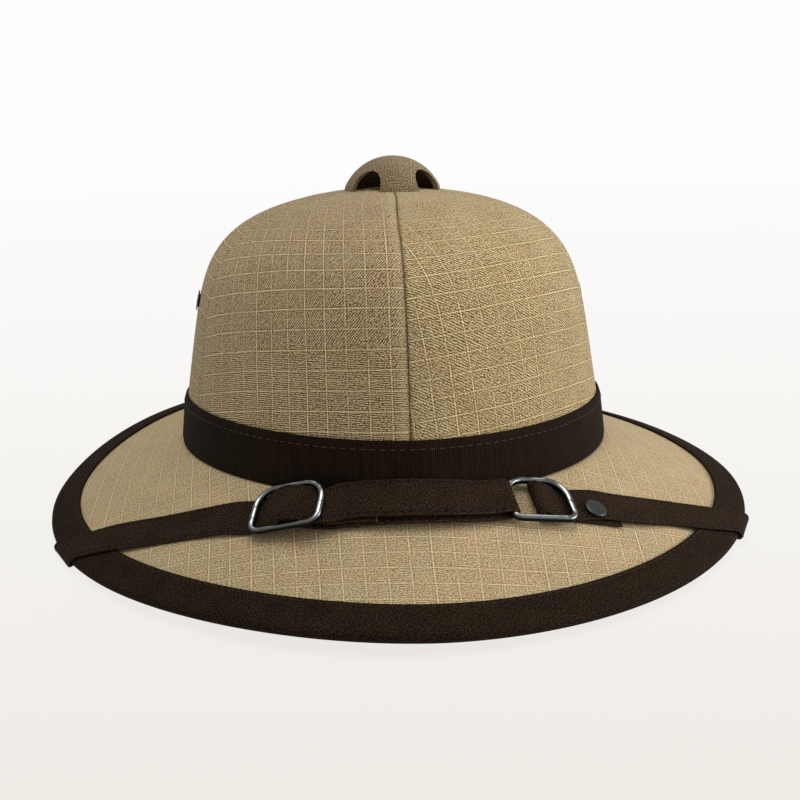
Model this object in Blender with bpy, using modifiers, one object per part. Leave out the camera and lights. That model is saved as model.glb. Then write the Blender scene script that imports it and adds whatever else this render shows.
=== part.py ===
"""Pith helmet with a ribbed band, a vent cap and a chin strap laid over the front of its brim.

Every length below is in millimetres and is turned into metres when a mesh is made.
The helmet rests on its rim on the plane z = 0 and looks along -Y.
Angles run round the crown: 0 at the front, 90 on the wearer's left (+X), 180 at the back.
"""
import math
from typing import NamedTuple

import bmesh
import bpy
from mathutils import Matrix, Vector, geometry

MM = 0.001

# seat of the crown ring in the object's frame
CENTRE_X = 0.9
CENTRE_Y = 10.0
RING_HEIGHT = 28.7

# crown ring: the outline of the band's foot
RING_HALF_WIDTH = 93.6
RING_HALF_LENGTH = 107.8
RING_POWER = 1.85
RING_SLOPE_BACK = -0.046
RING_SLOPE_SIDE = -0.014

# crown
CROWN_TOP = 107.5
CROWN_WALL = 2.4
CROWN_FOOT = 1.7
CROWN_TAPER = 0.154
CROWN_SHOULDER = 6.0
CROWN_SHOULDER_ROUND = 2.1
CROWN_ROWS = 11
PANEL_STEPS = 8
SEAM_GAP = 0.8
VENT_HOLE_RADIUS = 11.0
SEAMS = (-180.0, -122.0, -68.0, 0.0, 73.0, 122.0, 180.0)
SEAM_EXTRA = (0.6, 0.0, 0.0, 0.6, 0.0, 0.0, 0.6)
PANEL_NAMES = ("back_left", "side_left", "front_left", "front_right", "side_right", "back_right")

# band
BAND_FOOT = 1.5
BAND_TOP = 21.7
BAND_LEAN = 2.5
BAND_THICKNESS = 1.4
CROWN_INSET = 1.67

# brim
BRIM_THICKNESS = 2.0
BRIM_MARGIN = CROWN_INSET + CROWN_WALL
BRIM_FALL = 1.16
RIM_HALF_WIDTH = 150.0
RIM_FRONT = 158.0
RIM_BACK = 177.0
RIM_POWER = 1.89
RIM_X = 0.88
RIM_Y = 0.5
RIM_SKEW = 0.007
RIM_HEIGHT = -23.6
RIM_WAVES_COS = (-0.76, 0.51, 1.56, -0.64)
RIM_WAVES_SIN = (-2.04, 2.07, -1.67)
BRIM_STEPS = 72

# edge binding
BINDING_THICKNESS = 1.0
BINDING_FOLD = 1.8
BINDING_WIDTH = 14.25
FOLD_STEPS = 5

# vent cap
CAP_X = 2.2
CAP_Y = 4.0
CAP_FOOT = 107.3
CAP_SPHERE = 22.5
CAP_RADIUS = 20.7
CAP_WALL = 2.0
CAP_ARCH_RADIUS = 6.8
CAP_ARCH_RISE = 1.3
CAP_ARCHES = (-38.5, 48.5)

# eyelets
EYELET_ANGLES = (-83.0, 88.0)
EYELET_RISE = 0.48
EYELET_FLANGE = 4.5
EYELET_HOLE = 2.25
EYELET_BARREL = 2.8

# chin strap
STRAP_WIDTH = 15.6
STRAP_THICKNESS = 1.0
STRAP_WRAP = 1.75
STRAP_PASS = 2.35
STRAP_RIM_WRAP = 3.3
STRAP_ANCHOR = 20.0
STRAP_ANCHOR_GAP = 1.0

# slide frames
FRAME_HEIGHT = 20.6
FRAME_WIRE = 1.0

# snap cap
SNAP_RADIUS = 4.2
SNAP_HEIGHT = 1.3

GAP = 0.3


class Lay(NamedTuple):
    """A place on the brim: angle, share of the way out, lift above the mid-surface, roll."""

    angle: float
    out: float
    lift: float
    roll: float = 0.0


class Knot(NamedTuple):
    """A point of a strap's centre line, the side its face looks to and its fold line, if any."""

    place: Vector
    face: Vector
    fold: Vector = None


class FrameSize(NamedTuple):
    """A slide frame: its ends on the brim, length, middle bar, roll and four corner roundings."""

    ends: tuple
    length: float
    bar_shift: float
    roll: float
    corners: tuple


LEFT_FRAME = FrameSize(
    ends=(Lay(-33.0, 0.245, 4.8), Lay(-19.6, 0.130, 8.7)),
    length=29.0,
    bar_shift=0.0,
    roll=0.5,
    corners=(6.6, 5.6, 4.2, 3.0),
)
RIGHT_FRAME = FrameSize(
    ends=(Lay(21.05, 0.108, 4.3), Lay(32.95, 0.242, 5.1)),
    length=26.3,
    bar_shift=-0.5,
    roll=-0.5,
    corners=(7.0, 3.0, 3.0, 4.0),
)

UNDER_LEFT = (
    Lay(-88.0, 0.16, -2.5),
    Lay(-83.5, 0.38, -2.5),
    Lay(-77.0, 0.60, -2.7),
    Lay(-71.5, 0.79, -3.6),
)
OVER_LEFT = (
    Lay(-61.0, 0.885, 3.3),
    Lay(-57.4, 0.743, 3.3),
    Lay(-50.6, 0.541, 2.0),
    Lay(-43.9, 0.393, 1.9),
    Lay(-38.0, 0.300, 2.5),
)
MIDDLE_TOP = (
    Lay(-15.3, 0.074, 5.47, 2.6),
    Lay(-3.9, 0.055, 6.79, 2.4),
    Lay(7.6, 0.063, 6.26, 1.9),
    Lay(16.2, 0.084, 5.16, -1.2),
)
MIDDLE_RETURN = (
    Lay(16.0, 0.111, 3.17, -1.0),
    Lay(6.0, 0.088, 4.36, 2.7),
    Lay(-4.1, 0.083, 4.52, 4.9),
    Lay(-15.2, 0.111, 2.97, 2.2),
)
LEFT_TAIL = (
    Lay(-15.5, 0.095, 4.2, 3.0),
    Lay(-8.8, 0.080, 4.9, 3.0),
)
UNDER_RIGHT = (
    Lay(88.0, 0.16, -2.5),
    Lay(83.0, 0.38, -2.5),
    Lay(75.5, 0.60, -2.7),
    Lay(69.5, 0.79, -3.6),
)
OVER_RIGHT = (
    Lay(58.8, 0.890, 3.3),
    Lay(54.6, 0.722, 3.1),
    Lay(50.8, 0.576, 2.3),
    Lay(43.2, 0.418, 3.4),
    Lay(38.5, 0.318, 3.5),
)
RIGHT_TAIL = (
    Lay(39.1, 0.354, 2.0),
    Lay(41.5, 0.413, 2.0),
)
SNAP_SPOT = Lay(37.0, 0.353, 4.4)


def seat(point):
    """Moves a point from the crown ring's frame to the object's frame."""
    return point + Vector((-CENTRE_X, -CENTRE_Y, RING_HEIGHT))


def oval(angle, power):
    """Sine and cosine of a rounded oval at an angle in degrees."""
    s = math.sin(math.radians(angle))
    c = math.cos(math.radians(angle))
    return math.copysign(abs(s) ** (2 / power), s), math.copysign(abs(c) ** (2 / power), c)


def ring_point(angle, inset, height):
    """A point above the crown ring, set in from the band's foot."""
    s, c = oval(angle, RING_POWER)
    x = (RING_HALF_WIDTH - inset) * s
    y = -(RING_HALF_LENGTH - inset) * c
    return Vector((x, y, height + RING_SLOPE_BACK * y + RING_SLOPE_SIDE * x))


def rim_point(angle):
    """A point of the rim's centre line, with the low waves of the worn brim."""
    s, c = oval(angle, RIM_POWER)
    turn = math.radians(angle)
    skew = 1 + RIM_SKEW * math.sin(2 * turn)
    reach = RIM_FRONT if c > 0 else RIM_BACK
    height = RIM_HEIGHT
    height += sum(a * math.cos((i + 1) * turn) for i, a in enumerate(RIM_WAVES_COS))
    height += sum(a * math.sin((i + 1) * turn) for i, a in enumerate(RIM_WAVES_SIN))
    return Vector((RIM_X + RIM_HALF_WIDTH * s * skew, RIM_Y - reach * c * skew, height))


def brim_middle(angle, out):
    """Mid-surface of the brim: -1 at the head opening, 0 at the ring, 1 at the rim."""
    if out < 0:
        return ring_point(angle, -out * BRIM_MARGIN, 0.0)
    inner = ring_point(angle, 0.0, 0.0)
    outer = rim_point(angle)
    fall = BRIM_FALL * out + (1 - BRIM_FALL) * out * out
    return Vector((
        inner.x + (outer.x - inner.x) * out,
        inner.y + (outer.y - inner.y) * out,
        inner.z + (outer.z - inner.z) * fall,
    ))


def brim_frame(angle, out):
    """Directions at a place on the brim: round, outward and up."""
    step = 0.01
    place = max(out, step) if out >= 0 else min(out, -step)
    along = brim_middle(angle + step, place) - brim_middle(angle - step, place)
    outward = brim_middle(angle, place + step / 2) - brim_middle(angle, place - step / 2)
    up = outward.cross(along).normalized()
    along.normalize()
    return along, along.cross(up), up


def on_brim(lay):
    """The point and the upward side at a place laid over or under the brim."""
    along, outward, up = brim_frame(lay.angle, lay.out)
    point = seat(brim_middle(lay.angle, lay.out) + up * lay.lift)
    roll = math.radians(lay.roll)
    return point, up * math.cos(roll) + outward * math.sin(roll)


def rim_fold(angle, radius, turn):
    """A knot of the fold round the rim; turn runs from -90 below to 90 above."""
    along, outward, up = brim_frame(angle, 1.0)
    side = outward * math.cos(math.radians(turn)) + up * math.sin(math.radians(turn))
    return Knot(seat(rim_point(angle) + side * radius), side, along)


def crown_radius(rise):
    """Share of the crown's foot width left at a rise between 0 and 1."""
    shoulder = max(1 - rise ** CROWN_SHOULDER, 0.0) ** (1 / CROWN_SHOULDER_ROUND)
    return (1 - CROWN_TAPER * rise) * shoulder


def crown_point(angle, rise):
    """Outer face of the crown above the band."""
    s, c = oval(angle, RING_POWER)
    share = crown_radius(rise)
    inset = BAND_LEAN + CROWN_INSET
    x = (RING_HALF_WIDTH - inset) * s * share
    y = -(RING_HALF_LENGTH - inset) * c * share
    tilt = (RING_SLOPE_BACK * y + RING_SLOPE_SIDE * x) * (1 - rise)
    return Vector((x, y, BAND_TOP + rise * (CROWN_TOP - BAND_TOP) + tilt))


def even_rises(rows):
    """Rises that cut the crown's profile into rows of even length up to the vent hole."""
    samples = 600
    half = (RING_HALF_WIDTH + RING_HALF_LENGTH) / 2
    rises = [math.sin(math.pi / 2 * i / samples) for i in range(samples + 1)]
    rises = [rise for rise in rises if crown_radius(rise) * half > VENT_HOLE_RADIUS]
    lengths = [0.0]
    for low, high in zip(rises, rises[1:]):
        across = (crown_radius(high) - crown_radius(low)) * half
        lengths.append(lengths[-1] + math.hypot(across, (high - low) * (CROWN_TOP - BAND_TOP)))
    picked = []
    for row in range(rows + 1):
        goal = lengths[-1] * row / rows
        picked.append(min(zip(lengths, rises), key=lambda pair: abs(pair[0] - goal))[1])
    return picked


def blend(start, end, share):
    """Value part of the way between two values."""
    return start + (end - start) * share


def make_material(name, colour, roughness, metallic=0.0):
    """Principled material with a plain colour."""
    material = bpy.data.materials.new(name)
    material.use_nodes = True
    shader = material.node_tree.nodes["Principled BSDF"]
    shader.inputs["Base Color"].default_value = (*colour, 1.0)
    shader.inputs["Roughness"].default_value = roughness
    shader.inputs["Metallic"].default_value = metallic
    material.diffuse_color = (*colour, 1.0)
    return material


def make_object(name, mesh, material, collection):
    """Object of a mesh with one material in a collection."""
    obj = bpy.data.objects.new(name, mesh)
    mesh.materials.clear()
    mesh.materials.append(material)
    collection.objects.link(obj)
    return obj


def smooth_mesh(mesh, limit=35.0):
    """Smooth shading with the sharp edges kept."""
    mesh.shade_smooth()
    mesh.set_sharp_from_angle(angle=math.radians(limit))


def make_sheet(name, steps, rows, place, material, collection, thickness, offset=0.0, closed=False):
    """Open grid laid out by place(across, along) in millimetres, thickened into a wall."""
    shape = bmesh.new()
    bmesh.ops.create_grid(shape, x_segments=steps, y_segments=rows, size=0.5)
    for vertex in shape.verts:
        vertex.co = place(vertex.co.x + 0.5, vertex.co.y + 0.5) * MM
    if closed:
        bmesh.ops.remove_doubles(shape, verts=shape.verts, dist=0.00001)
    mesh = bpy.data.meshes.new(name)
    shape.to_mesh(mesh)
    shape.free()
    mesh.shade_smooth()
    obj = make_object(name, mesh, material, collection)
    wall = obj.modifiers.new("wall", "SOLIDIFY")
    wall.thickness = thickness * MM
    wall.offset = offset
    wall.use_even_offset = True
    wall.use_rim = True
    return obj


def bake(obj):
    """Turns an object's modifiers into its own mesh."""
    graph = bpy.context.evaluated_depsgraph_get()
    mesh = bpy.data.meshes.new_from_object(obj.evaluated_get(graph))
    mesh.name = obj.name
    obj.modifiers.clear()
    obj.data = mesh
    return mesh


def face_outward(mesh):
    """Turns all faces of a closed body outward."""
    shape = bmesh.new()
    shape.from_mesh(mesh)
    bmesh.ops.remove_doubles(shape, verts=shape.verts, dist=0.00001)
    bmesh.ops.recalc_face_normals(shape, faces=shape.faces)
    shape.to_mesh(mesh)
    shape.free()


def settle(obj):
    """Flattens the cloth where it rests on the ground."""
    mesh = bake(obj)
    for vertex in mesh.vertices:
        vertex.co.z = max(vertex.co.z, 0.0)
    smooth_mesh(mesh)


def cut(obj, cutter, operation="DIFFERENCE"):
    """Exact boolean of an object with a cutter."""
    tool = obj.modifiers.new(operation.lower(), "BOOLEAN")
    tool.operation = operation
    tool.solver = "EXACT"
    tool.object = cutter


def make_cutter(name, radius, depth, matrix, collection, steps=24):
    """Cylinder used to cut or to join, kept out of sight."""
    shape = bmesh.new()
    bmesh.ops.create_cone(
        shape, cap_ends=True, segments=steps, radius1=radius * MM, radius2=radius * MM, depth=depth * MM,
    )
    mesh = bpy.data.meshes.new(name)
    shape.to_mesh(mesh)
    shape.free()
    obj = bpy.data.objects.new(name, mesh)
    obj.matrix_world = matrix
    obj.hide_render = True
    obj.display_type = "WIRE"
    collection.objects.link(obj)
    return obj


def make_turned(name, profile, steps, material, collection):
    """Profile of (radius, height) points turned about Z, closed unless it starts and ends on it."""
    shape = bmesh.new()
    verts = [shape.verts.new((radius * MM, 0.0, height * MM)) for radius, height in profile]
    pairs = list(zip(verts, verts[1:]))
    if profile[0][0] > 0.0 or profile[-1][0] > 0.0:
        pairs.append((verts[-1], verts[0]))
    for first, second in pairs:
        shape.edges.new((first, second))
    mesh = bpy.data.meshes.new(name)
    shape.to_mesh(mesh)
    shape.free()
    obj = make_object(name, mesh, material, collection)
    turn = obj.modifiers.new("turn", "SCREW")
    turn.steps = steps
    turn.render_steps = steps
    turn.use_merge_vertices = True
    turn.merge_threshold = 0.00001
    turn.use_normal_calculate = True
    return obj


def place_on(obj, place, up):
    """Stands an object on a point with its Z along a direction."""
    mesh = bake(obj)
    turn = up.to_track_quat("Z", "Y").to_matrix().to_4x4()
    mesh.transform(Matrix.Translation(place * MM) @ turn)
    face_outward(mesh)
    smooth_mesh(mesh)


def make_crown(material, collection):
    """Six gores from the brim to the vent hole, with a fine gap at each seam."""
    rises = even_rises(CROWN_ROWS)
    rows = CROWN_ROWS + 1
    panels = []
    for index, name in enumerate(PANEL_NAMES):
        start, end = SEAMS[index], SEAMS[index + 1]

        def place(across, along, index=index, start=start, end=end):
            row = round(along * rows)
            reach = RING_HALF_WIDTH * crown_radius(rises[max(row - 1, 0)])
            start_edge = math.degrees((SEAM_GAP + SEAM_EXTRA[index]) / 2 / reach)
            end_edge = math.degrees((SEAM_GAP + SEAM_EXTRA[index + 1]) / 2 / reach)
            angle = blend(start + start_edge, end - end_edge, across)
            if row == 0:
                return seat(ring_point(angle, CROWN_INSET, CROWN_FOOT))
            return seat(crown_point(angle, rises[row - 1]))

        panels.append(make_sheet(
            f"crown_panel_{name}", PANEL_STEPS, rows, place, material, collection, CROWN_WALL, -1.0,
        ))
    return panels


def make_band(material, collection):
    """Band round the foot of the crown."""
    def place(across, along):
        step = round(across * PANEL_STEPS * len(PANEL_NAMES))
        index = min(step // PANEL_STEPS, len(PANEL_NAMES) - 1)
        angle = blend(SEAMS[index], SEAMS[index + 1], step / PANEL_STEPS - index)
        return seat(ring_point(angle, BAND_LEAN * along, blend(BAND_FOOT, BAND_TOP, along)))

    steps = PANEL_STEPS * len(PANEL_NAMES)
    return make_sheet("hat_band", steps, 1, place, material, collection, BAND_THICKNESS, -1.0, True)


def binding_start(angle):
    """Share of the way out at which the binding's edge lies."""
    width = (rim_point(angle) - ring_point(angle, 0.0, 0.0)).length
    return 1 - (BINDING_WIDTH - BINDING_FOLD - BINDING_THICKNESS / 2) / width


def make_brim(material, collection):
    """Brim from the head opening to the rim."""
    def place(across, along):
        angle = blend(-180.0, 180.0, across)
        start = binding_start(angle)
        outs = (1.0, start, start * 0.67, start * 0.34, 0.0, -1.0)
        return seat(brim_middle(angle, outs[round(along * 5)]))

    return make_sheet("brim", BRIM_STEPS, 5, place, material, collection, BRIM_THICKNESS, 0.0, True)


def make_binding(material, collection):
    """Binding folded round the rim."""
    rows = FOLD_STEPS + 2

    def place(across, along):
        angle = blend(-180.0, 180.0, across)
        row = round(along * rows)
        if row in (0, rows):
            lift = -BINDING_FOLD if row == 0 else BINDING_FOLD
            return on_brim(Lay(angle, binding_start(angle), lift))[0]
        return rim_fold(angle, BINDING_FOLD, blend(-90.0, 90.0, (row - 1) / FOLD_STEPS)).place

    binding = make_sheet(
        "brim_binding", BRIM_STEPS, rows, place, material, collection, BINDING_THICKNESS, 0.0, True,
    )
    settle(binding)
    return binding


def crown_height(x, y):
    """Height of the crown's outer face near its top."""
    inset = BAND_LEAN + CROWN_INSET
    wide = (abs(x) / (RING_HALF_WIDTH - inset)) ** RING_POWER
    deep = (abs(y) / (RING_HALF_LENGTH - inset)) ** RING_POWER
    share = (wide + deep) ** (1 / RING_POWER)
    low, high = 0.5, 1.0
    for _ in range(30):
        middle = (low + high) / 2
        if crown_radius(middle) > share:
            low = middle
        else:
            high = middle
    return blend(BAND_TOP, CROWN_TOP, low)


def make_vent_cap(material, collection, cutters):
    """Domed vent that follows the crown at its foot, with an arch on each side of its front."""
    inner = CAP_SPHERE - CAP_WALL
    drop = math.sqrt(CAP_SPHERE ** 2 - CAP_RADIUS ** 2)
    outer_end = math.asin(CAP_RADIUS / CAP_SPHERE)
    inner_end = math.acos(drop / inner)
    profile = []
    for i in range(8):
        turn = outer_end * i / 7
        profile.append((CAP_SPHERE * math.sin(turn), CAP_SPHERE * math.cos(turn) - drop))
    for i in range(8):
        turn = inner_end * (7 - i) / 7
        profile.append((inner * math.sin(turn), inner * math.cos(turn) - drop))
    cap = make_turned("vent_cap", profile, 32, material, collection)
    mesh = bake(cap)
    for vertex in mesh.vertices:
        if vertex.co.z < 0.1 * MM:
            height = crown_height(vertex.co.x / MM + CAP_X, vertex.co.y / MM + CAP_Y)
            vertex.co.z = (height + GAP - CAP_FOOT) * MM
    place = seat(Vector((CAP_X, CAP_Y, CAP_FOOT)))
    mesh.transform(Matrix.Translation(place * MM))
    for index, heading in enumerate(CAP_ARCHES):
        turn = math.radians(heading)
        out = Vector((math.sin(turn), -math.cos(turn), 0.0))
        lie = out.to_track_quat("Z", "Y").to_matrix().to_4x4()
        middle = Matrix.Translation((place + out * CAP_SPHERE + Vector((0.0, 0.0, CAP_ARCH_RISE))) * MM)
        name = f"cut_arch_{index + 1}"
        cut(cap, make_cutter(name, CAP_ARCH_RADIUS, 1.4 * CAP_SPHERE, middle @ lie, cutters, 32))
    bpy.context.view_layer.update()
    smooth_mesh(bake(cap))
    return cap


def crown_stand(angle, rise):
    """Point and outward side of the crown's outer face."""
    step = 0.01
    place = crown_point(angle, rise)
    round_way = crown_point(angle + 1.0, rise) - crown_point(angle - 1.0, rise)
    up_way = crown_point(angle, rise + step) - crown_point(angle, rise - step)
    return seat(place), round_way.cross(up_way).normalized()


def make_eyelet(name, angle, panel, material, collection, cutters):
    """Eyelet through a side panel, with its hole."""
    profile = (
        (EYELET_HOLE, 0.6),
        (EYELET_BARREL + 0.3, 0.85),
        (EYELET_FLANGE - 0.3, 0.65),
        (EYELET_FLANGE, GAP),
        (EYELET_BARREL, GAP),
        (EYELET_BARREL, -CROWN_WALL - 0.5),
        (EYELET_HOLE, -CROWN_WALL - 0.5),
    )
    place, out = crown_stand(angle, EYELET_RISE)
    eyelet = make_turned(name, profile, 20, material, collection)
    place_on(eyelet, place, out)
    turn = out.to_track_quat("Z", "Y").to_matrix().to_4x4()
    matrix = Matrix.Translation(place * MM) @ turn
    cutter = make_cutter(f"cut_{name}", EYELET_BARREL + GAP, 12.0, matrix, cutters, 20)
    cut(panel, cutter)
    return eyelet


class SlideFrame:
    """Three-bar slide frame and the directions of its own plane."""

    def __init__(self, name, size):
        start, end = size.ends
        first, _ = on_brim(start)
        last, _ = on_brim(end)
        middle = Lay((start.angle + end.angle) / 2, (start.out + end.out) / 2, 0.0, size.roll)
        self.name = name
        self.bar_shift = size.bar_shift
        self.corners = size.corners
        self.centre = (first + last) / 2
        self.along = (last - first).normalized()
        up = on_brim(middle)[1]
        self.across = up.cross(self.along).normalized()
        self.up = self.along.cross(self.across)
        self.reach = size.length / 2 - FRAME_WIRE

    def spot(self, run, rise):
        """Knot in the frame's own plane, run along the strap and rise above it."""
        return Knot(self.centre + self.along * run + self.up * rise, self.up)

    def wrap(self, run, start, end, steps=5):
        """Knots round a bar, from one turn to another in degrees above the strap's way."""
        knots = []
        for i in range(steps):
            turn = math.radians(blend(start, end, i / (steps - 1)))
            side = self.along * math.cos(turn) + self.up * math.sin(turn)
            knots.append(Knot(self.centre + self.along * run + side * STRAP_WRAP, side))
        return knots

    def build(self, material, collection, cutters):
        """Rounded wire frame joined with its middle bar."""
        half_length = self.reach
        half_height = FRAME_HEIGHT / 2 - FRAME_WIRE
        curve = bpy.data.curves.new(self.name, "CURVE")
        curve.dimensions = "3D"
        curve.bevel_depth = FRAME_WIRE * MM
        curve.bevel_resolution = 2
        sides = ((1, 1), (-1, 1), (-1, -1), (1, -1))
        points = []
        for index, (side_x, side_y) in enumerate(sides):
            bend = self.corners[index] - FRAME_WIRE
            for step in range(5):
                turn = math.radians(90 * index + 90 * step / 4)
                points.append((
                    (side_x * (half_length - bend) + bend * math.cos(turn)) * MM,
                    (side_y * (half_height - bend) + bend * math.sin(turn)) * MM,
                    0.0,
                    1.0,
                ))
        spline = curve.splines.new("POLY")
        spline.points.add(len(points) - 1)
        for point, value in zip(spline.points, points):
            point.co = value
        spline.use_cyclic_u = True
        wire = bpy.data.objects.new(f"{self.name}_wire", curve)
        collection.objects.link(wire)
        bpy.context.view_layer.update()
        mesh = bpy.data.meshes.new_from_object(wire.evaluated_get(bpy.context.evaluated_depsgraph_get()))
        bpy.data.objects.remove(wire)
        face_outward(mesh)
        frame = make_object(self.name, mesh, material, collection)
        turn = Matrix((self.along, self.across, self.up)).transposed().to_4x4()
        stand = Matrix.Translation(self.centre * MM) @ turn
        lie = Matrix.Translation((self.bar_shift * MM, 0.0, 0.0)) @ Matrix.Rotation(math.pi / 2, 4, "X")
        bar = make_cutter(f"join_{self.name}", FRAME_WIRE * 0.92, 2 * half_height, lie, cutters, 8)
        cut(frame, bar, "UNION")
        bpy.context.view_layer.update()
        mesh = bake(frame)
        bar.matrix_world = stand @ lie
        mesh.transform(stand)
        smooth_mesh(mesh, 50.0)
        return frame


def lay_over(lays):
    """Knots of a run over the brim."""
    return [Knot(*on_brim(lay)) for lay in lays]


def lay_under(lays):
    """Knots of a run along the brim's underside."""
    knots = []
    for lay in lays:
        place, up = on_brim(lay)
        knots.append(Knot(place, -up))
    return knots


def anchor(angle):
    """Knots down the inner wall of the crown and round the edge of the head opening."""
    bend = STRAP_ANCHOR_GAP + STRAP_THICKNESS / 2
    inset = BRIM_MARGIN + bend
    inward = -ring_point(angle, 0.0, 0.0).normalized()
    inward.z = 0.0
    inward.normalize()
    knots = []
    for height in (STRAP_ANCHOR, STRAP_ANCHOR / 2, 0.0):
        lean = BAND_LEAN * max(height - BAND_FOOT, 0.0) / (BAND_TOP - BAND_FOOT)
        knots.append(Knot(seat(ring_point(angle, inset + lean, height)), inward))
    edge = seat(ring_point(angle, BRIM_MARGIN, -BRIM_THICKNESS / 2))
    for turn in (0.0, 45.0, 90.0):
        side = inward * math.cos(math.radians(turn)) - Vector((0, 0, math.sin(math.radians(turn))))
        knots.append(Knot(edge + side * bend, side))
    return knots


def over_rim(start, end):
    """Knots round the rim's fold from below at one angle to above at another."""
    knots = []
    for i in range(7):
        share = i / 6
        knots.append(rim_fold(blend(start, end, share), STRAP_RIM_WRAP, blend(-90.0, 90.0, share)))
    return knots


def smooth_knots(knots, reach=5.5):
    """Knots added along a smooth line through the given ones, each with its line across."""
    places = [knot.place for knot in knots]
    ways = []
    lines = []
    for i, knot in enumerate(knots):
        ahead = places[min(i + 1, len(places) - 1)]
        behind = places[max(i - 1, 0)]
        way = (ahead - behind).normalized()
        line = knot.face.cross(way).normalized()
        if knot.fold is not None:
            line = knot.fold if knot.fold.dot(line) > 0 else -knot.fold
        ways.append(way)
        lines.append(line)
    full = []
    for i in range(len(knots) - 1):
        chord = (places[i + 1] - places[i]).length
        count = max(1, round(chord / reach))
        handle = chord / 3
        points = geometry.interpolate_bezier(
            places[i], places[i] + ways[i] * handle,
            places[i + 1] - ways[i + 1] * handle, places[i + 1], count + 1,
        )
        for j in range(count):
            full.append((Vector(points[j]), lines[i].lerp(lines[i + 1], j / count)))
    full.append((places[-1], lines[-1]))
    return full


def make_ribbon(name, knots, material, collection):
    """Flat strap along its knots."""
    full = smooth_knots(knots)
    edges = []
    for i, (place, line) in enumerate(full):
        way = (full[min(i + 1, len(full) - 1)][0] - full[max(i - 1, 0)][0]).normalized()
        across = line * (STRAP_WIDTH / 2 / line.cross(way).length)
        edges.append((place + across, place - across))

    def place_edge(across, along):
        left, right = edges[round(along * (len(edges) - 1))]
        return left if across < 0.5 else right

    strap = make_sheet(name, 1, len(edges) - 1, place_edge, material, collection, STRAP_THICKNESS)
    settle(strap)
    return strap


def make_straps(material, collection, left_frame, right_frame):
    """Both halves of the chin strap, threaded through their slide frames."""
    reach = left_frame.reach
    centre = left_frame.bar_shift
    lift = 2 * STRAP_WRAP - 0.55
    knots = anchor(-90.0) + lay_under(UNDER_LEFT) + over_rim(-66.6, -63.0) + lay_over(OVER_LEFT)
    knots.append(left_frame.spot(-reach, -STRAP_PASS))
    knots.append(left_frame.spot(centre, lift))
    knots.append(left_frame.spot(reach, -STRAP_PASS))
    knots += lay_over(MIDDLE_TOP)
    knots += right_frame.wrap(-right_frame.reach, 90.0, -90.0)
    knots += [Knot(knot.place, -knot.face) for knot in lay_over(MIDDLE_RETURN)]
    low = left_frame.spot(reach, -6.2)
    knots.append(Knot(low.place, -low.face))
    knots += left_frame.wrap(centre, -90.0, -270.0)
    knots.append(left_frame.spot(reach, -3.3))
    knots += lay_over(LEFT_TAIL)
    left = make_ribbon("strap_left", knots, material, collection)

    reach = right_frame.reach
    centre = right_frame.bar_shift
    knots = anchor(90.0) + lay_under(UNDER_RIGHT) + over_rim(64.2, 61.0) + lay_over(OVER_RIGHT)
    knots.append(right_frame.spot(reach, -STRAP_PASS))
    knots += right_frame.wrap(centre, 90.0, 270.0)
    low = right_frame.spot(reach, -2.95)
    knots.append(Knot(low.place, -low.face))
    knots += [Knot(knot.place, -knot.face) for knot in lay_over(RIGHT_TAIL)]
    right = make_ribbon("strap_right", knots, material, collection)
    return left, right


def make_snap(material, collection):
    """Domed snap cap on the right strap."""
    profile = (
        (0.0, SNAP_HEIGHT),
        (SNAP_RADIUS * 0.5, SNAP_HEIGHT * 0.93),
        (SNAP_RADIUS * 0.85, SNAP_HEIGHT * 0.66),
        (SNAP_RADIUS, SNAP_HEIGHT * 0.25),
        (SNAP_RADIUS * 0.95, 0.0),
        (0.0, 0.0),
    )
    snap = make_turned("snap_cap", profile, 24, material, collection)
    place, up = on_brim(SNAP_SPOT)
    place_on(snap, place, up)
    return snap


def build():
    """Builds the whole helmet."""
    for obj in list(bpy.data.objects):
        bpy.data.objects.remove(obj, do_unlink=True)
    collection = bpy.data.collections.new("pith_helmet")
    cutters = bpy.data.collections.new("cutters")
    for group in (collection, cutters):
        bpy.context.scene.collection.children.link(group)
    khaki = make_material("khaki_cloth", (0.47, 0.36, 0.21), 0.9)
    khaki_brim = make_material("brim_cloth", (0.45, 0.34, 0.2), 0.9)
    binding_cloth = make_material("binding_cloth", (0.03, 0.019, 0.012), 0.85)
    cap_cloth = make_material("cap_cloth", (0.46, 0.35, 0.2), 0.9)
    band_cloth = make_material("band_grosgrain", (0.018, 0.012, 0.008), 0.75)
    strap_cloth = make_material("strap_webbing", (0.035, 0.022, 0.014), 0.85)
    gunmetal = make_material("gunmetal", (0.2, 0.22, 0.23), 0.25, 1.0)
    dark_metal = make_material("dark_metal", (0.06, 0.055, 0.05), 0.4, 1.0)

    panels = make_crown(khaki, collection)
    make_band(band_cloth, collection)
    make_brim(khaki_brim, collection)
    make_binding(binding_cloth, collection)
    make_vent_cap(cap_cloth, collection, cutters)
    make_eyelet("eyelet_left", EYELET_ANGLES[0], panels[1], dark_metal, collection, cutters)
    make_eyelet("eyelet_right", EYELET_ANGLES[1], panels[4], dark_metal, collection, cutters)
    left_frame = SlideFrame("slider_left", LEFT_FRAME)
    right_frame = SlideFrame("slider_right", RIGHT_FRAME)
    left_frame.build(gunmetal, collection, cutters)
    right_frame.build(gunmetal, collection, cutters)
    make_straps(strap_cloth, collection, left_frame, right_frame)
    make_snap(gunmetal, collection)


build()
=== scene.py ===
"""Looks of a pith helmet: six cloth gores, ribbed band, taped brim, vent cap and chin strap.

Lengths in the classes are millimetres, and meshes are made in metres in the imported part's frame.
Angles run round the crown: 0 at the front, 90 on the wearer's left (+X), 180 at the back.
"""
from __future__ import annotations

import logging
import math
from dataclasses import dataclass
from enum import Enum
from typing import Any, Callable, Iterable, Mapping, NamedTuple, Sequence

import bmesh
import bpy
import numpy as np
from mathutils import Matrix, Vector

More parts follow.
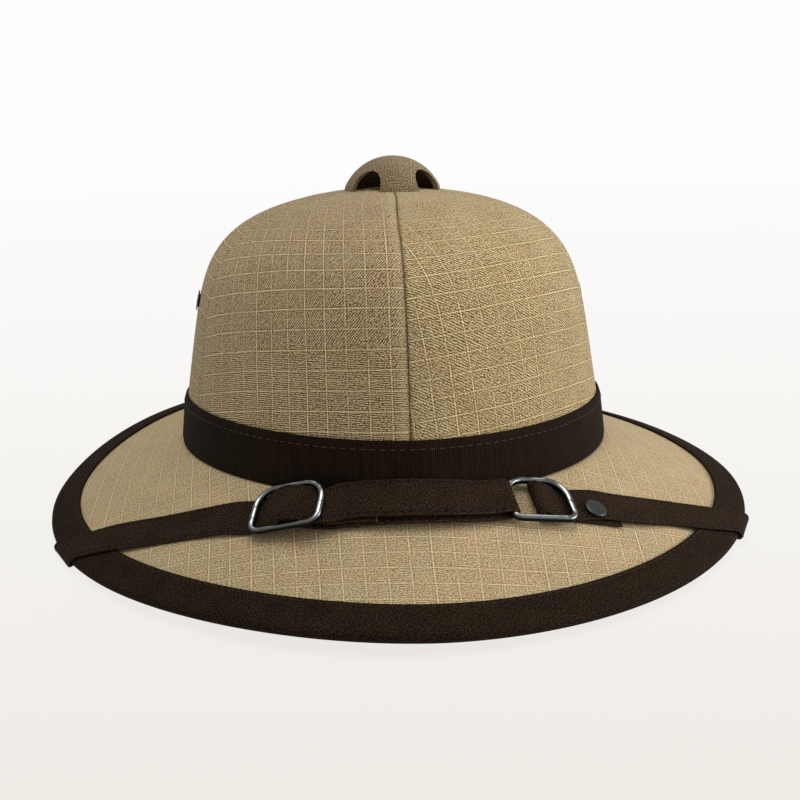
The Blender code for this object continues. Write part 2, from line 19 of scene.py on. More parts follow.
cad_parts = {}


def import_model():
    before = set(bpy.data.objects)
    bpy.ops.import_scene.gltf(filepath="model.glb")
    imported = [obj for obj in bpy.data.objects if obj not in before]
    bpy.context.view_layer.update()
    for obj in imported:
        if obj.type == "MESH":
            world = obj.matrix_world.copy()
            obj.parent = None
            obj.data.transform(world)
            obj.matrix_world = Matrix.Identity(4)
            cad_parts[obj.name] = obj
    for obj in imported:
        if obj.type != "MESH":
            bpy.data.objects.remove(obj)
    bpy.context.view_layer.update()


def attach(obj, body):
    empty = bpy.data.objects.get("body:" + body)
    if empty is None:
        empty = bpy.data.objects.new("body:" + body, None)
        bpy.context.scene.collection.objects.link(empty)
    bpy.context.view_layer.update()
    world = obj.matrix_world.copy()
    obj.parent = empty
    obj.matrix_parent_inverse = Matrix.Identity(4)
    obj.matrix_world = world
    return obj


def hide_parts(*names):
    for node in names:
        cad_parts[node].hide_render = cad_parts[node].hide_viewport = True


LOG = logging.getLogger("pith_helmet")
MM = 0.001
CHART = "cloth"
Array = np.ndarray
Colour = tuple[float, float, float]
Profile = tuple[tuple[float, float], ...]
Material = bpy.types.Material
Piece = bpy.types.Object


class Slot(Enum):
    """Material slots named in the part's record."""

    CROWN = "khaki_cloth"
    BRIM = "brim_cloth"
    BINDING = "binding_cloth"
    CAP = "cap_cloth"
    BAND = "band_grosgrain"
    STRAP = "strap_webbing"
    BRIGHT_METAL = "gunmetal"
    DULL_METAL = "dark_metal"


def feed(tree: bpy.types.NodeTree, target: bpy.types.NodeSocket, value: Any) -> None:
    """Links a signal or an output to an input, or sets the input's own value.

    Args:
        tree: The tree they belong to.
        target: The input.
        value: Where its value comes from, or the value.
    """
    source = value.socket if isinstance(value, Signal) else value
    if isinstance(source, bpy.types.NodeSocket):
        tree.links.new(source, target)
    else:
        target.default_value = source


def add_node(
    tree: bpy.types.NodeTree,
    kind: str,
    settings: Mapping[str, Any] | None = None,
    sockets: Mapping[str | int, Any] | None = None,
) -> bpy.types.NodeOutputs:
    """Adds a node to a tree.

    Args:
        tree: The tree it goes into.
        kind: The node's type.
        settings: Its own choices, set before its inputs.
        sockets: Values, signals or outputs for its inputs.

    Returns:
        The node's outputs.
    """
    node = tree.nodes.new(kind)
    for key, value in (settings or {}).items():
        setattr(node, key, value)
    for key, value in (sockets or {}).items():
        feed(tree, node.inputs[key], value)
    return node.outputs


def arithmetic(operation: str, swapped: bool = False) -> Callable[[Signal, Signal | float], Signal]:
    """Makes an operator between a signal and a signal or number.

    Args:
        operation: The Math node's operation.
        swapped: Whether the other value comes first.

    Returns:
        The operator, which adds the Math node to the signal's drawing.
    """
    def operator(signal: Signal, other: Signal | float) -> Signal:
        """Adds the Math node."""
        values = (other, signal) if swapped else (signal, other)
        return signal.sketch.maths(operation, *values)

    return operator


class Signal:
    """A number or colour on its way through a material's nodes."""

    __add__ = arithmetic("ADD")
    __radd__ = arithmetic("ADD", True)
    __sub__ = arithmetic("SUBTRACT")
    __rsub__ = arithmetic("SUBTRACT", True)
    __mul__ = arithmetic("MULTIPLY")
    __rmul__ = arithmetic("MULTIPLY", True)
    __truediv__ = arithmetic("DIVIDE")
    __rtruediv__ = arithmetic("DIVIDE", True)

    def __init__(self, sketch: Sketch, socket: bpy.types.NodeSocket) -> None:
        """Keeps the socket that the value comes from."""
        self.sketch = sketch
        self.socket = socket

    def __abs__(self) -> Signal:
        """Size without sign."""
        return self.sketch.maths("ABSOLUTE", self)

    def wave(self, pitch: float) -> Signal:
        """Sine wave between -1 and 1 that repeats every pitch."""
        return self.sketch.maths("SINE", self * (2.0 * math.pi / pitch))

    def from_line(self, pitch: float) -> Signal:
        """Distance to the nearest of the lines that lie a pitch apart."""
        return abs(self.sketch.maths("FRACT", self / pitch + 0.5) - 0.5) * pitch

    def line_number(self, pitch: float) -> Signal:
        """Number of the nearest of the lines that lie a pitch apart."""
        return self.sketch.maths("FLOOR", self / pitch + 0.5)

    def ease(self, low: float, high: float) -> Signal:
        """Smooth step from 0 at low to 1 at high."""
        span = {"Value": self, "From Min": low, "From Max": high}
        return self.sketch.node("ShaderNodeMapRange", {"interpolation_type": "SMOOTHSTEP"}, span)


class Sketch:
    """Node drawing of one material, ending in its Principled shader."""

    def __init__(self, name: str) -> None:
        """Starts a material with an empty drawing.

        Args:
            name: The material's name.
        """
        self.material = bpy.data.materials.new(name)
        self.material.use_nodes = True
        self.tree = self.material.node_tree
        self.shader = self.tree.nodes["Principled BSDF"]

    def node(
        self,
        kind: str,
        settings: Mapping[str, Any] | None = None,
        sockets: Mapping[str | int, Any] | None = None,
        output: str | int = 0,
    ) -> Signal:
        """Adds a node and carries on from one of its outputs."""
        return Signal(self, add_node(self.tree, kind, settings, sockets)[output])

    def maths(self, operation: str, *values: Signal | float) -> Signal:
        """Adds a Math node on signals and numbers."""
        return self.node("ShaderNodeMath", {"operation": operation}, dict(enumerate(values)))

    def vector(self, x: Signal | float, y: Signal | float, z: Signal | float = 0.0) -> Signal:
        """Joins three values into a vector."""
        return self.node("ShaderNodeCombineXYZ", None, {"X": x, "Y": y, "Z": z})

    def chart(self) -> tuple[Signal, Signal]:
        """The place on the piece's own cloth chart, along and across, in millimetres.

        Returns:
            The places along and across.
        """
        place = self.node("ShaderNodeUVMap", {"uv_map": CHART})
        halves = [self.node("ShaderNodeSeparateXYZ", None, {0: place}, axis) for axis in ("X", "Y")]
        return halves[0] / MM, halves[1] / MM

    def solid(self) -> Signal:
        """The place in the object, in metres."""
        return self.node("ShaderNodeTexCoord", None, None, "Object")

    def noise(self, place: Signal, scale: float, detail: float = 2.0, rough: float = 0.5) -> Signal:
        """Cloudy noise between about 0 and 1."""
        values = {"Vector": place, "Scale": scale, "Detail": detail, "Roughness": rough}
        return self.node("ShaderNodeTexNoise", {"noise_dimensions": "3D"}, values)

    def chance(self, number: Signal, seed: float) -> Signal:
        """A fixed random value between 0 and 1 for each number."""
        place = self.vector(number, seed)
        return self.node("ShaderNodeTexWhiteNoise", {"noise_dimensions": "2D"}, {"Vector": place})

    def toward(self, place: Signal, way: Sequence[float]) -> Signal:
        """How far a place or a side points a given way."""
        return self.node("ShaderNodeVectorMath", {"operation": "DOT_PRODUCT"}, {0: place, 1: way}, "Value")

    def tint(self, share: Signal | float, first: Signal | Colour, second: Signal | Colour) -> Signal:
        """Mixes two colours."""
        ends = [value if isinstance(value, Signal) else (*value, 1.0) for value in (first, second)]
        return self.node("ShaderNodeMix", {"data_type": "RGBA"}, {0: share, 6: ends[0], 7: ends[1]}, 2)

    def relief(self, height: Signal, depth: float, strength: float = 1.0) -> Signal:
        """Bump of a height between 0 and 1, with its depth in millimetres."""
        values = {"Height": height, "Distance": depth * MM, "Strength": strength}
        return self.node("ShaderNodeBump", None, values, "Normal")

    def finish(self, **sockets: Any) -> Material:
        """Feeds the shader.

        Args:
            sockets: Values or signals by input name, with underscores for spaces.

        Returns:
            The finished material.
        """
        for key, value in sockets.items():
            name = key.replace("_", " ").title().replace("Ior", "IOR")
            feed(self.tree, self.shader.inputs[name], value)
        return self.material


@dataclass(frozen=True)
class RipstopCloth:
    """Cotton cloth with a grid of thicker, lighter threads over a grain of short strokes."""

    name: str
    ground: Colour
    pitch: tuple[float, float] = (8.1, 7.4)
    lean: float = 1.0
    level_below: float = 52.0
    shade: Colour = (0.3, 0.215, 0.1)
    shine: Colour = (2.1, 2.35, 2.8)
    thread: Colour = (2.8, 3.15, 3.6)
    line_width: float = 0.42
    stroke_pitch: float = 0.78
    strokes: float = 2.2
    shake: float = 1.1
    fuzz: float = 6.0
    lines: float = 1.0
    # Strength of a painted highlight along the gore's edge at the front seam.
    plain_above: float = 95.0
    seam_highlight: float = 0.0

    def grid_line(self, sketch: Sketch, across: Signal, along: Signal, pitch: float, seed: float) -> Signal:
        """One way of the grid.

        Args:
            sketch: The material's drawing.
            across: Place across the threads.
            along: Place along them.
            pitch: Distance between the threads.
            seed: Choice of the threads' random strengths.

        Returns:
            Strength of the thicker threads, 0 between them and below 0 in the shade beside each.
        """
        width = self.line_width
        number = across.line_number(pitch)
        line = 1.0 - across.from_line(pitch).ease(width * 0.3, width * 0.8)
        worn = sketch.noise(sketch.vector(along * 0.13, number * 3.7, seed), 1.0, 2.0, 0.6).ease(0.3, 0.62)
        strength = (0.65 + 0.35 * sketch.chance(number, seed)) * (0.35 + 0.65 * worn)
        dots = 0.6 + 0.4 * along.wave(0.95)
        half = across + 0.5 * pitch
        weak = 1.0 - half.from_line(pitch).ease(width * 0.25, width * 0.7)
        picked = sketch.chance(half.line_number(pitch), seed + 3.0).ease(0.55, 0.8)
        reach = across.from_line(pitch)
        flank = reach.ease(width * 0.6, width) * (1.0 - reach.ease(width * 1.3, width * 2.1))
        return line * strength * dots + 0.3 * weak * picked * worn * dots - 0.3 * flank * strength

    def dyed(self, factors: Colour) -> Colour:
        """The ground colour with its three parts made stronger or weaker."""
        return tuple(min(part * factor, 0.9) for part, factor in zip(self.ground, factors))

    def make(self) -> Material:
        """Draws the cloth's material.

        Returns:
            The finished material.
        """
        sketch = Sketch(self.name)
        u, v = sketch.chart()
        flat = sketch.vector(u, v)
        drift = sketch.noise(flat, 0.03, 1.0) - 0.5
        u_bent = u + 0.9 * drift
        v_bent = v - 0.9 * drift
        mottle = sketch.noise(flat, 0.07, 3.0, 0.6)
        shake = sketch.noise(flat, 0.42, 2.0, 0.6) - 0.5
        rise = 0.67 * v - 0.74 * self.lean * u
        run = 0.74 * self.lean * v + 0.67 * u
        slanted = (rise + self.shake * shake).wave(self.stroke_pitch)
        level = (v + self.shake * shake + 0.06 * self.lean * u).wave(self.stroke_pitch)
        upper = (v + 40.0 * (mottle - 0.5)).ease(self.level_below - 7.0, self.level_below + 7.0)
        stroke = upper * slanted + (1.0 - upper) * level
        broken = sketch.noise(sketch.vector(run * 0.7, rise * 1.1), 1.0, 1.0).ease(0.3, 0.6)
        patch = 0.35 + 0.65 * sketch.noise(flat, 0.045, 2.0).ease(0.36, 0.6)
        fuzz = sketch.noise(flat, 1.6, 1.0, 0.8) - 0.5
        grain = self.strokes * stroke * broken * patch + self.fuzz * fuzz + 0.7 * (mottle - 0.5)
        grid = self.grid_line(sketch, u_bent, v, self.pitch[0], 11.0)
        grid = grid + self.grid_line(sketch, v_bent, u, self.pitch[1], 29.0)
        grid = grid * (1.0 - 0.6 * v.ease(self.plain_above, self.plain_above + 22.0))
        redder, greener = self.dyed((1.05, 0.98, 0.93)), self.dyed((0.95, 1.02, 1.06))
        ground = sketch.tint(sketch.noise(flat, 0.11, 2.0).ease(0.38, 0.62), redder, greener)
        base = sketch.tint(-1.0 * grain, ground, self.dyed(self.shade))
        base = sketch.tint(grain, base, self.dyed(self.shine))
        base = sketch.tint(-1.6 * grid, base, self.dyed(self.shade))
        colour = sketch.tint(self.lines * grid, base, self.dyed(self.thread))
        # Painted highlight: a lighter strip along the edge at the front seam, where the raised seam catches
        # the light.
        if self.seam_highlight:
            colour = sketch.tint(self.seam_highlight * u.ease(0.5, 5.5), colour, self.dyed(self.thread))
        return sketch.finish(
            base_color=colour,
            roughness=0.86 + 0.1 * mottle,
            normal=sketch.relief(0.5 + 0.2 * grain + 0.35 * grid, 0.3, 0.4),
            specular_ior_level=0.15,
            sheen_weight=0.05,
            sheen_roughness=0.5,
        )


@dataclass(frozen=True)
class RibbedRibbon:
    """Dark ribbon with fine ribs across its length."""

    name: str
    ground: Colour
    light: Colour
    rib_pitch: float = 0.8

    def make(self) -> Material:
        """Draws the ribbon's material.

        Returns:
            The finished material.
        """
        sketch = Sketch(self.name)
        u, v = sketch.chart()
        flat = sketch.vector(u, v)
        rib = u.wave(self.rib_pitch)
        streak = sketch.noise(sketch.vector(u * 1.1, v * 0.05), 1.0, 2.0, 0.6)
        fleck = sketch.noise(sketch.vector(u, v * 1.3), 1.6, 1.0, 0.6).ease(0.52, 0.8)
        mottle = sketch.noise(flat, 0.07, 2.0)
        lit = 0.2 + 0.45 * rib + 1.3 * (streak - 0.42) + 1.3 * fleck + 0.4 * (mottle - 0.5)
        return sketch.finish(
            base_color=sketch.tint(lit, self.ground, self.light),
            roughness=0.72 + 0.15 * streak,
            normal=sketch.relief(0.5 + 0.4 * rib + 0.3 * (streak - 0.5) + 0.2 * v.wave(0.6), 0.3, 0.8),
            specular_ior_level=0.05,
        )


@dataclass(frozen=True)
class TwillTape:
    """Dark cotton twill with a soft worn bloom along its edges."""

    name: str
    ground: Colour
    light: Colour
    lean: float = 0.9
    twill_pitch: float = 0.8
    edge: float = 0.0
    # Distance from the middle to the painted shade along the grooves of the stitch rows.
    shaded_groove_at: float = 0.0

    def make(self) -> Material:
        """Draws the tape's material.

        Returns:
            The finished material.
        """
        sketch = Sketch(self.name)
        u, v = sketch.chart()
        flat = sketch.vector(u, v)
        fuzz = sketch.noise(flat, 1.7, 2.0, 0.7)
        twill = (u * self.lean + v * 0.55 + 0.9 * fuzz).wave(self.twill_pitch)
        weave = u.wave(0.62) * v.wave(0.62)
        mottle = sketch.noise(flat, 0.12, 3.0, 0.6)
        lit = 0.3 + 0.25 * twill * fuzz + 4.5 * (fuzz - 0.5) + 0.08 * weave + 0.5 * (mottle - 0.5)
        if self.edge:
            worn = abs(v).ease(self.edge * 0.86, self.edge)
            lit = lit + 0.35 * worn * fuzz
        # Painted shade along the grooves that the stitch rows press into the tape.
        if self.shaded_groove_at:
            lit = lit - 0.4 * (1.0 - abs(abs(v) - self.shaded_groove_at).ease(0.15, 0.7))
        return sketch.finish(
            base_color=sketch.tint(lit, self.ground, self.light),
            roughness=0.82 + 0.12 * fuzz,
            normal=sketch.relief(0.5 + 0.22 * twill + 0.5 * (fuzz - 0.5) + 0.1 * weave, 0.32, 0.7),
            specular_ior_level=0.05,
        )


@dataclass(frozen=True)
class Thread:
    """Twisted sewing thread."""

    name: str
    ground: Colour
    light: Colour

    def make(self) -> Material:
        """Draws the thread's material.

        Returns:
            The finished material.
        """
        sketch = Sketch(self.name)
        place = sketch.solid()
        fuzz = sketch.noise(place, 1400.0, 2.0, 0.6)
        patch = sketch.noise(place, 90.0, 1.0)
        return sketch.finish(
            base_color=sketch.tint(0.5 * fuzz + 0.5 * patch, self.ground, self.light),
            roughness=0.7 + 0.2 * fuzz,
            normal=sketch.relief(fuzz, 0.08, 0.6),
            specular_ior_level=0.3,
        )


@dataclass(frozen=True)
class PlatedMetal:
    """Plated metal with soft handling marks and, where a highlight way is given, painted shade and a
    painted highlight set by the way each side faces.
    """

    name: str
    ground: Colour
    worn: Colour
    roughness: float
    marks: float = 0.12
    # Way the painted highlight faces, its colour, and the share of the ground colour kept as painted shade
    # on sides that face away.
    highlight_way: tuple[float, float, float] = (0.0, 0.0, 0.0)
    highlight_colour: Colour = (0.75, 0.77, 0.76)
    shaded_side_share: float = 0.12

    def make(self) -> Material:
        """Draws the metal's material, with a painted highlight where it faces its highlight way and painted
        shade on the sides that face away.

        Returns:
            The finished material.
        """
        sketch = Sketch(self.name)
        place = sketch.solid()
        cloud = sketch.noise(place, 160.0, 3.0, 0.6)
        scratch = sketch.noise(place, 900.0, 3.0, 0.7).ease(0.55, 0.75)
        colour = sketch.tint(0.6 * cloud + 0.25 * scratch, self.ground, self.worn)
        if any(self.highlight_way):
            # Painted shade on the sides that face away from the highlight way, and a painted highlight
            # stripe on those that face it.
            lean = sketch.toward(sketch.node("ShaderNodeTexCoord", None, None, "Normal"), self.highlight_way)
            side = tuple(part * self.shaded_side_share for part in self.ground)
            colour = sketch.tint(lean.ease(0.3, 0.72), side, colour)
            highlight_stripe = (lean + 0.12 * (cloud - 0.5)).ease(0.9, 0.97)
            colour = sketch.tint(highlight_stripe * cloud.ease(0.42, 0.6), colour, self.highlight_colour)
        return sketch.finish(
            base_color=colour,
            metallic=1.0,
            roughness=self.roughness + self.marks * cloud + 0.5 * self.marks * scratch,
            normal=sketch.relief(cloud, 0.05, 0.35),
        )


def unit(vectors: Array) -> Array:
    """Vectors scaled to length 1."""
    return vectors / np.linalg.norm(vectors, axis=-1, keepdims=True)


def headings(points: Array) -> Array:
    """The way a line of points runs at each of them."""
    steps = points[1:2] - points[:1], points[2:] - points[:-2], points[-1:] - points[-2:-1]
    return unit(np.concatenate(steps))


def run_along(points: Array) -> Array:
    """Length from the first point, or row of points, to each of them."""
    steps = np.linalg.norm(np.diff(points, axis=0), axis=-1)
    return np.concatenate([np.zeros_like(steps[:1]), np.cumsum(steps, axis=0)])


def grid_faces(rows: int, cols: int, closed: bool) -> list[tuple[int, ...]]:
    """Quads between rows of points, each row open or closed to a ring.

    Args:
        rows: How many rows there are.
        cols: Points in each row.
        closed: Whether each row is a ring.

    Returns:
        Corners of each quad.
    """
    faces = []
    for low in range(0, (rows - 1) * cols, cols):
        high = low + cols
        for col in range(cols if closed else cols - 1):
            after = (col + 1) % cols
            faces.append((low + col, low + after, high + after, high + col))
    return faces


@dataclass
class Shell:
    """A wall between an outer and an inner grid of points, laid out in rows and columns."""

    name: str
    outer: Array
    inner: Array
    chart: Array
    closed: bool = False
    flip: bool = False

    def faces(self, rows: int, cols: int) -> list[tuple[int, ...]]:
        """Quads of both grids and of the strips that join their edges.

        Args:
            rows: Rows of each grid.
            cols: Points in each row.

        Returns:
            Corners of each face.
        """
        count = rows * cols
        top = count - cols
        faces = grid_faces(rows, cols, self.closed)
        faces += [tuple(count + corner for corner in reversed(quad)) for quad in faces]
        for col in range(cols if self.closed else cols - 1):
            after = (col + 1) % cols
            faces.append((count + col, count + after, after, col))
            faces.append((top + col, top + after, count + top + after, count + top + col))
        if not self.closed:
            end = cols - 1
            for row in range(rows - 1):
                low, high = row * cols, (row + 1) * cols
                faces.append((count + low, low, high, count + high))
                faces.append((low + end, count + low + end, count + high + end, high + end))
        if self.flip:
            faces = [tuple(reversed(quad)) for quad in faces]
        return faces

    def build(self, material: Material, crease: float = 40.0) -> Piece:
        """Makes the wall's object.

        Args:
            material: Its finish.
            crease: Angle in degrees above which an edge stays sharp.

        Returns:
            The new object.
        """
        rows, cols = self.outer.shape[:2]
        points = np.concatenate([self.outer.reshape(-1, 3), self.inner.reshape(-1, 3)]) * MM
        points[:, 2] = np.maximum(points[:, 2], 0.0)
        faces = self.faces(rows, cols)
        chart = self.chart.reshape(-1, 2) * MM
        wide = self.chart.shape[1]
        spots = np.array(faces)
        folded = spots % (rows * cols)
        row, col = folded // cols, folded % cols
        if self.closed:
            wraps = (col == 0) & ((col == cols - 1).any(axis=1, keepdims=True))
            col = np.where(wraps, cols, col)
        uv = chart[np.minimum(row * wide + col, len(chart) - 1)].reshape(-1, 2)
        return make_piece(self.name, points, faces, material, uv, crease)


def add_object(name: str, data: bpy.types.ID) -> Piece:
    """Makes an object at the origin and puts it in the scene.

    Args:
        name: The object's name.
        data: Its mesh, light or camera.

    Returns:
        The new object.
    """
    piece = bpy.data.objects.new(name, data)
    bpy.context.scene.collection.objects.link(piece)
    return piece


def dress_mesh(mesh: bpy.types.Mesh, material: Material, crease: float) -> None:
    """Gives a mesh its one finish and smooth faces that meet sharply above the crease angle.

    Args:
        mesh: The mesh.
        material: Its finish.
        crease: Angle in degrees above which an edge stays sharp.
    """
    mesh.materials.clear()
    mesh.materials.append(material)
    mesh.shade_smooth()
    mesh.set_sharp_from_angle(angle=math.radians(crease))


def make_piece(
    name: str,
    points: Array,
    faces: Sequence[Sequence[int]],
    material: Material,
    uv: Array | None = None,
    crease: float = 40.0,
) -> Piece:
    """Makes a smooth-shaded object at the origin.

    Args:
        name: The piece's name.
        points: Vertices in metres.
        faces: Corners of each face.
        material: Its finish.
        uv: Chart place of each corner, in metres of cloth.
        crease: Angle in degrees above which an edge stays sharp.

    Returns:
        The new object.
    """
    mesh = bpy.data.meshes.new(name)
    mesh.from_pydata([tuple(point) for point in points], [], [tuple(face) for face in faces])
    if uv is not None:
        mesh.uv_layers.new(name=CHART).data.foreach_set("uv", np.asarray(uv, dtype=np.float32).ravel())
    mesh.validate()
    dress_mesh(mesh, material, crease)
    return add_object(name, mesh)


def plain_mesh(piece: Piece) -> bpy.types.Mesh:
    """Turns an object's modifiers into its own mesh and removes them.

    Args:
        piece: The object.

    Returns:
        Its new mesh.
    """
    graph = bpy.context.evaluated_depsgraph_get()
    mesh = bpy.data.meshes.new_from_object(piece.evaluated_get(graph))
    mesh.name = piece.name
    piece.modifiers.clear()
    piece.data = mesh
    return mesh


def merged(piece: Piece) -> None:
    """Merges the doubles of a closed body and turns its faces outward.

    Args:
        piece: The object.
    """
    shape = bmesh.new()
    shape.from_mesh(piece.data)
    bmesh.ops.remove_doubles(shape, verts=shape.verts, dist=0.000005)
    bmesh.ops.recalc_face_normals(shape, faces=shape.faces)
    shape.to_mesh(piece.data)
    shape.free()


def settle_piece(piece: Piece, slot: Slot, *nodes: str) -> None:
    """Seats a finished piece on the helmet's body.

    Args:
        piece: The piece.
        slot: The record's material slot for the piece; not used.
        nodes: The solids it stands for.
    """
    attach(piece, "root")
    if nodes:
        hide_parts(*nodes)
    LOG.info("%s: %d faces", piece.name, len(piece.data.polygons))


class Knot(NamedTuple):
    """A point of a strap's centre line, the side its face looks to and its fold line, if any."""

    place: Array
    face: Array
    fold: Array | None = None


@dataclass(frozen=True)
class HelmetShape:
    """The helmet's main surfaces, in millimetres."""

    seat: tuple[float, float, float] = (-0.9, -10.0, 28.7)
    ring_half: tuple[float, float] = (93.6, 107.8)
    ring_power: float = 1.85
    ring_slope: tuple[float, float] = (-0.014, -0.046)
    crown_top: float = 107.5
    crown_taper: float = 0.154
    shoulder: float = 6.0
    shoulder_round: float = 2.1
    band_foot: float = 1.5
    band_top: float = 21.7
    band_lean: float = 2.5
    crown_inset: float = 1.67
    crown_foot: float = 1.7
    wall: float = 2.4
    fall: float = 1.16
    rim_half: float = 150.0
    rim_reach: tuple[float, float] = (158.0, 177.0)
    rim_power: float = 1.89
    rim_shift: tuple[float, float] = (0.88, 0.5)
    rim_skew: float = 0.007
    rim_height: float = -23.6
    waves_cos: tuple[float, ...] = (-0.76, 0.51, 1.56, -0.64)
    waves_sin: tuple[float, ...] = (-2.04, 2.07, -1.67)
    tape_width: float = 14.25
    tape_fold: float = 1.8
    tape_thick: float = 1.0

    @staticmethod
    def oval(angle: Array | float, power: float) -> tuple[Array, Array]:
        """Sine and cosine of a rounded oval at angles in degrees."""
        s, c = np.sin(np.radians(angle)), np.cos(np.radians(angle))
        return np.sign(s) * np.abs(s) ** (2 / power), np.sign(c) * np.abs(c) ** (2 / power)

    def place(self, point: Array) -> Array:
        """Moves points from the crown ring's frame to the helmet's."""
        return point + np.array(self.seat)

    def ring(self, angle: Array | float, inset: Array | float = 0.0, height: Array | float = 0.0) -> Array:
        """Points above the crown ring, set in from the band's foot.

        Args:
            angle: Angle round the crown, in degrees.
            inset: Distance inward from the band's foot.
            height: Height above the ring.

        Returns:
            The points.
        """
        s, c = self.oval(angle, self.ring_power)
        x = (self.ring_half[0] - inset) * s
        y = -(self.ring_half[1] - inset) * c
        z = height + self.ring_slope[1] * y + self.ring_slope[0] * x
        return np.stack(np.broadcast_arrays(x, y, z), -1)

    def band_height(self, share: Array | float) -> Array | float:
        """Height above the ring at a share of the way up the band."""
        return self.band_foot + (self.band_top - self.band_foot) * share

    def rim(self, angle: Array | float) -> Array:
        """Points of the rim's centre line, with the low waves of the worn brim.

        Args:
            angle: Angle round the crown, in degrees.

        Returns:
            The points, in the ring's frame.
        """
        s, c = self.oval(angle, self.rim_power)
        turn = np.radians(angle)
        skew = 1 + self.rim_skew * np.sin(2 * turn)
        reach = np.where(c > 0, *self.rim_reach)
        height = self.rim_height + 0.0 * turn
        for index, size in enumerate(self.waves_cos):
            height = height + size * np.cos((index + 1) * turn)
        for index, size in enumerate(self.waves_sin):
            height = height + size * np.sin((index + 1) * turn)
        x = self.rim_shift[0] + self.rim_half * s * skew
        y = self.rim_shift[1] - reach * c * skew
        return np.stack(np.broadcast_arrays(x, y, height), -1)

    def brim(self, angle: Array | float, out: Array | float) -> Array:
        """Mid-surface of the brim: -1 at the head opening, 0 at the ring, 1 at the rim.

        Args:
            angle: Angle round the crown, in degrees.
            out: Share of the way from the ring to the rim.

        Returns:
            The points, in the ring's frame.
        """
        angle, out = np.broadcast_arrays(np.asarray(angle, float), np.asarray(out, float))
        inner, outer = self.ring(angle), self.rim(angle)
        fall = self.fall * out + (1 - self.fall) * out * out
        share = np.stack([out, out, fall], -1)
        inset = -out * (self.crown_inset + self.wall)
        return np.where(out[..., None] < 0, self.ring(angle, inset), inner + (outer - inner) * share)

    def brim_axes(self, angle: Array | float, out: Array | float) -> tuple[Array, Array, Array]:
        """Directions at places on the brim: round, outward and up.

        Args:
            angle: Angle round the crown, in degrees.
            out: Share of the way from the ring to the rim.

        Returns:
            The three directions.
        """
        step = 0.01
        out = np.asarray(out, float)
        spot = np.where(out >= 0, np.maximum(out, step), np.minimum(out, -step))
        along = self.brim(angle + step, spot) - self.brim(angle - step, spot)
        outward = self.brim(angle, spot + step / 2) - self.brim(angle, spot - step / 2)
        up = unit(np.cross(outward, along))
        along = unit(along)
        return along, np.cross(along, up), up

    def on_brim(
        self, angle: Array | float, out: Array | float, lift: Array | float, roll: float = 0.0,
    ) -> tuple[Array, Array]:
        """Points over or under the brim and the side that looks up there.

        Args:
            angle: Angle round the crown, in degrees.
            out: Share of the way from the ring to the rim.
            lift: Height over the brim's mid-surface.
            roll: Lean of the side outward, in degrees.

        Returns:
            The points and their sides.
        """
        _, outward, up = self.brim_axes(angle, out)
        point = self.place(self.brim(angle, out) + up * np.asarray(lift)[..., None])
        tip = math.radians(roll)
        return point, up * math.cos(tip) + outward * math.sin(tip)

    def rim_fold(self, angle: Array | float, radius: float, turn: float) -> tuple[Array, Array]:
        """Points of a fold round the rim, turn running from -90 below to 90 above, and their sides.

        Args:
            angle: Angle round the crown, in degrees.
            radius: Distance from the rim's centre line.
            turn: Way round the rim, in degrees.

        Returns:
            The points and their sides.
        """
        _, outward, up = self.brim_axes(angle, 1.0)
        side = outward * np.cos(np.radians(turn)) + up * np.sin(np.radians(turn))
        return self.place(self.rim(angle) + side * radius), side

    def share(self, rise: Array | float) -> Array:
        """Part of the crown's foot width left at a rise between 0 and 1."""
        arch = np.maximum(1 - np.asarray(rise) ** self.shoulder, 0.0) ** (1 / self.shoulder_round)
        return (1 - self.crown_taper * np.asarray(rise)) * arch

    def crown(self, angle: Array | float, rise: Array | float) -> Array:
        """Outer face of the crown above the band, and down to its foot for rises below 0.

        Args:
            angle: Angle round the crown, in degrees.
            rise: Rise of each place, 0 at the band and 1 at the top.

        Returns:
            The points.
        """
        angle, rise = np.broadcast_arrays(np.asarray(angle, float), np.asarray(rise, float))
        s, c = self.oval(angle, self.ring_power)
        high = np.maximum(rise, 0.0)
        low = np.minimum(rise, 0.0)
        share = self.share(high)
        inset = self.band_lean * (1 + low) + self.crown_inset
        x = (self.ring_half[0] - inset) * s * share
        y = -(self.ring_half[1] - inset) * c * share
        tilt = (self.ring_slope[1] * y + self.ring_slope[0] * x) * (1 - high)
        height = self.band_top + high * (self.crown_top - self.band_top)
        height = height + low * (self.band_top - self.crown_foot)
        return self.place(np.stack([x, y, height + tilt], -1))

    def top_height(self, x: Array, y: Array) -> Array:
        """Height of the crown's outer face above the ring near its top.

        Args:
            x: Place across.
            y: Place along.

        Returns:
            The heights.
        """
        inset = self.band_lean + self.crown_inset
        wide = (np.abs(x) / (self.ring_half[0] - inset)) ** self.ring_power
        deep = (np.abs(y) / (self.ring_half[1] - inset)) ** self.ring_power
        rises = np.linspace(1.0, 0.5, 2000)
        rise = np.interp((wide + deep) ** (1 / self.ring_power), self.share(rises), rises)
        return self.band_top + rise * (self.crown_top - self.band_top)

    def crown_side(self, angle: Array | float, rise: Array | float) -> Array:
        """Outward side of the crown.

        Args:
            angle: Angle round the crown, in degrees.
            rise: Rise of each place, 0 at the band and 1 at the top.

        Returns:
            The directions.
        """
        round_way = self.crown(angle + 0.5, rise) - self.crown(angle - 0.5, rise)
        up_way = self.crown(angle, np.asarray(rise) + 0.0005) - self.crown(angle, np.asarray(rise) - 0.0005)
        return unit(np.cross(round_way, up_way))

    def tape_start(self, angle: Array | float, shift: float = 0.0) -> Array:
        """Share of the way out at which the rim tape's edge, or a line that far outside it, lies."""
        width = np.linalg.norm(self.rim(angle) - self.ring(angle), axis=-1)
        return 1 - (self.tape_width - self.tape_fold - self.tape_thick / 2 - shift) / width


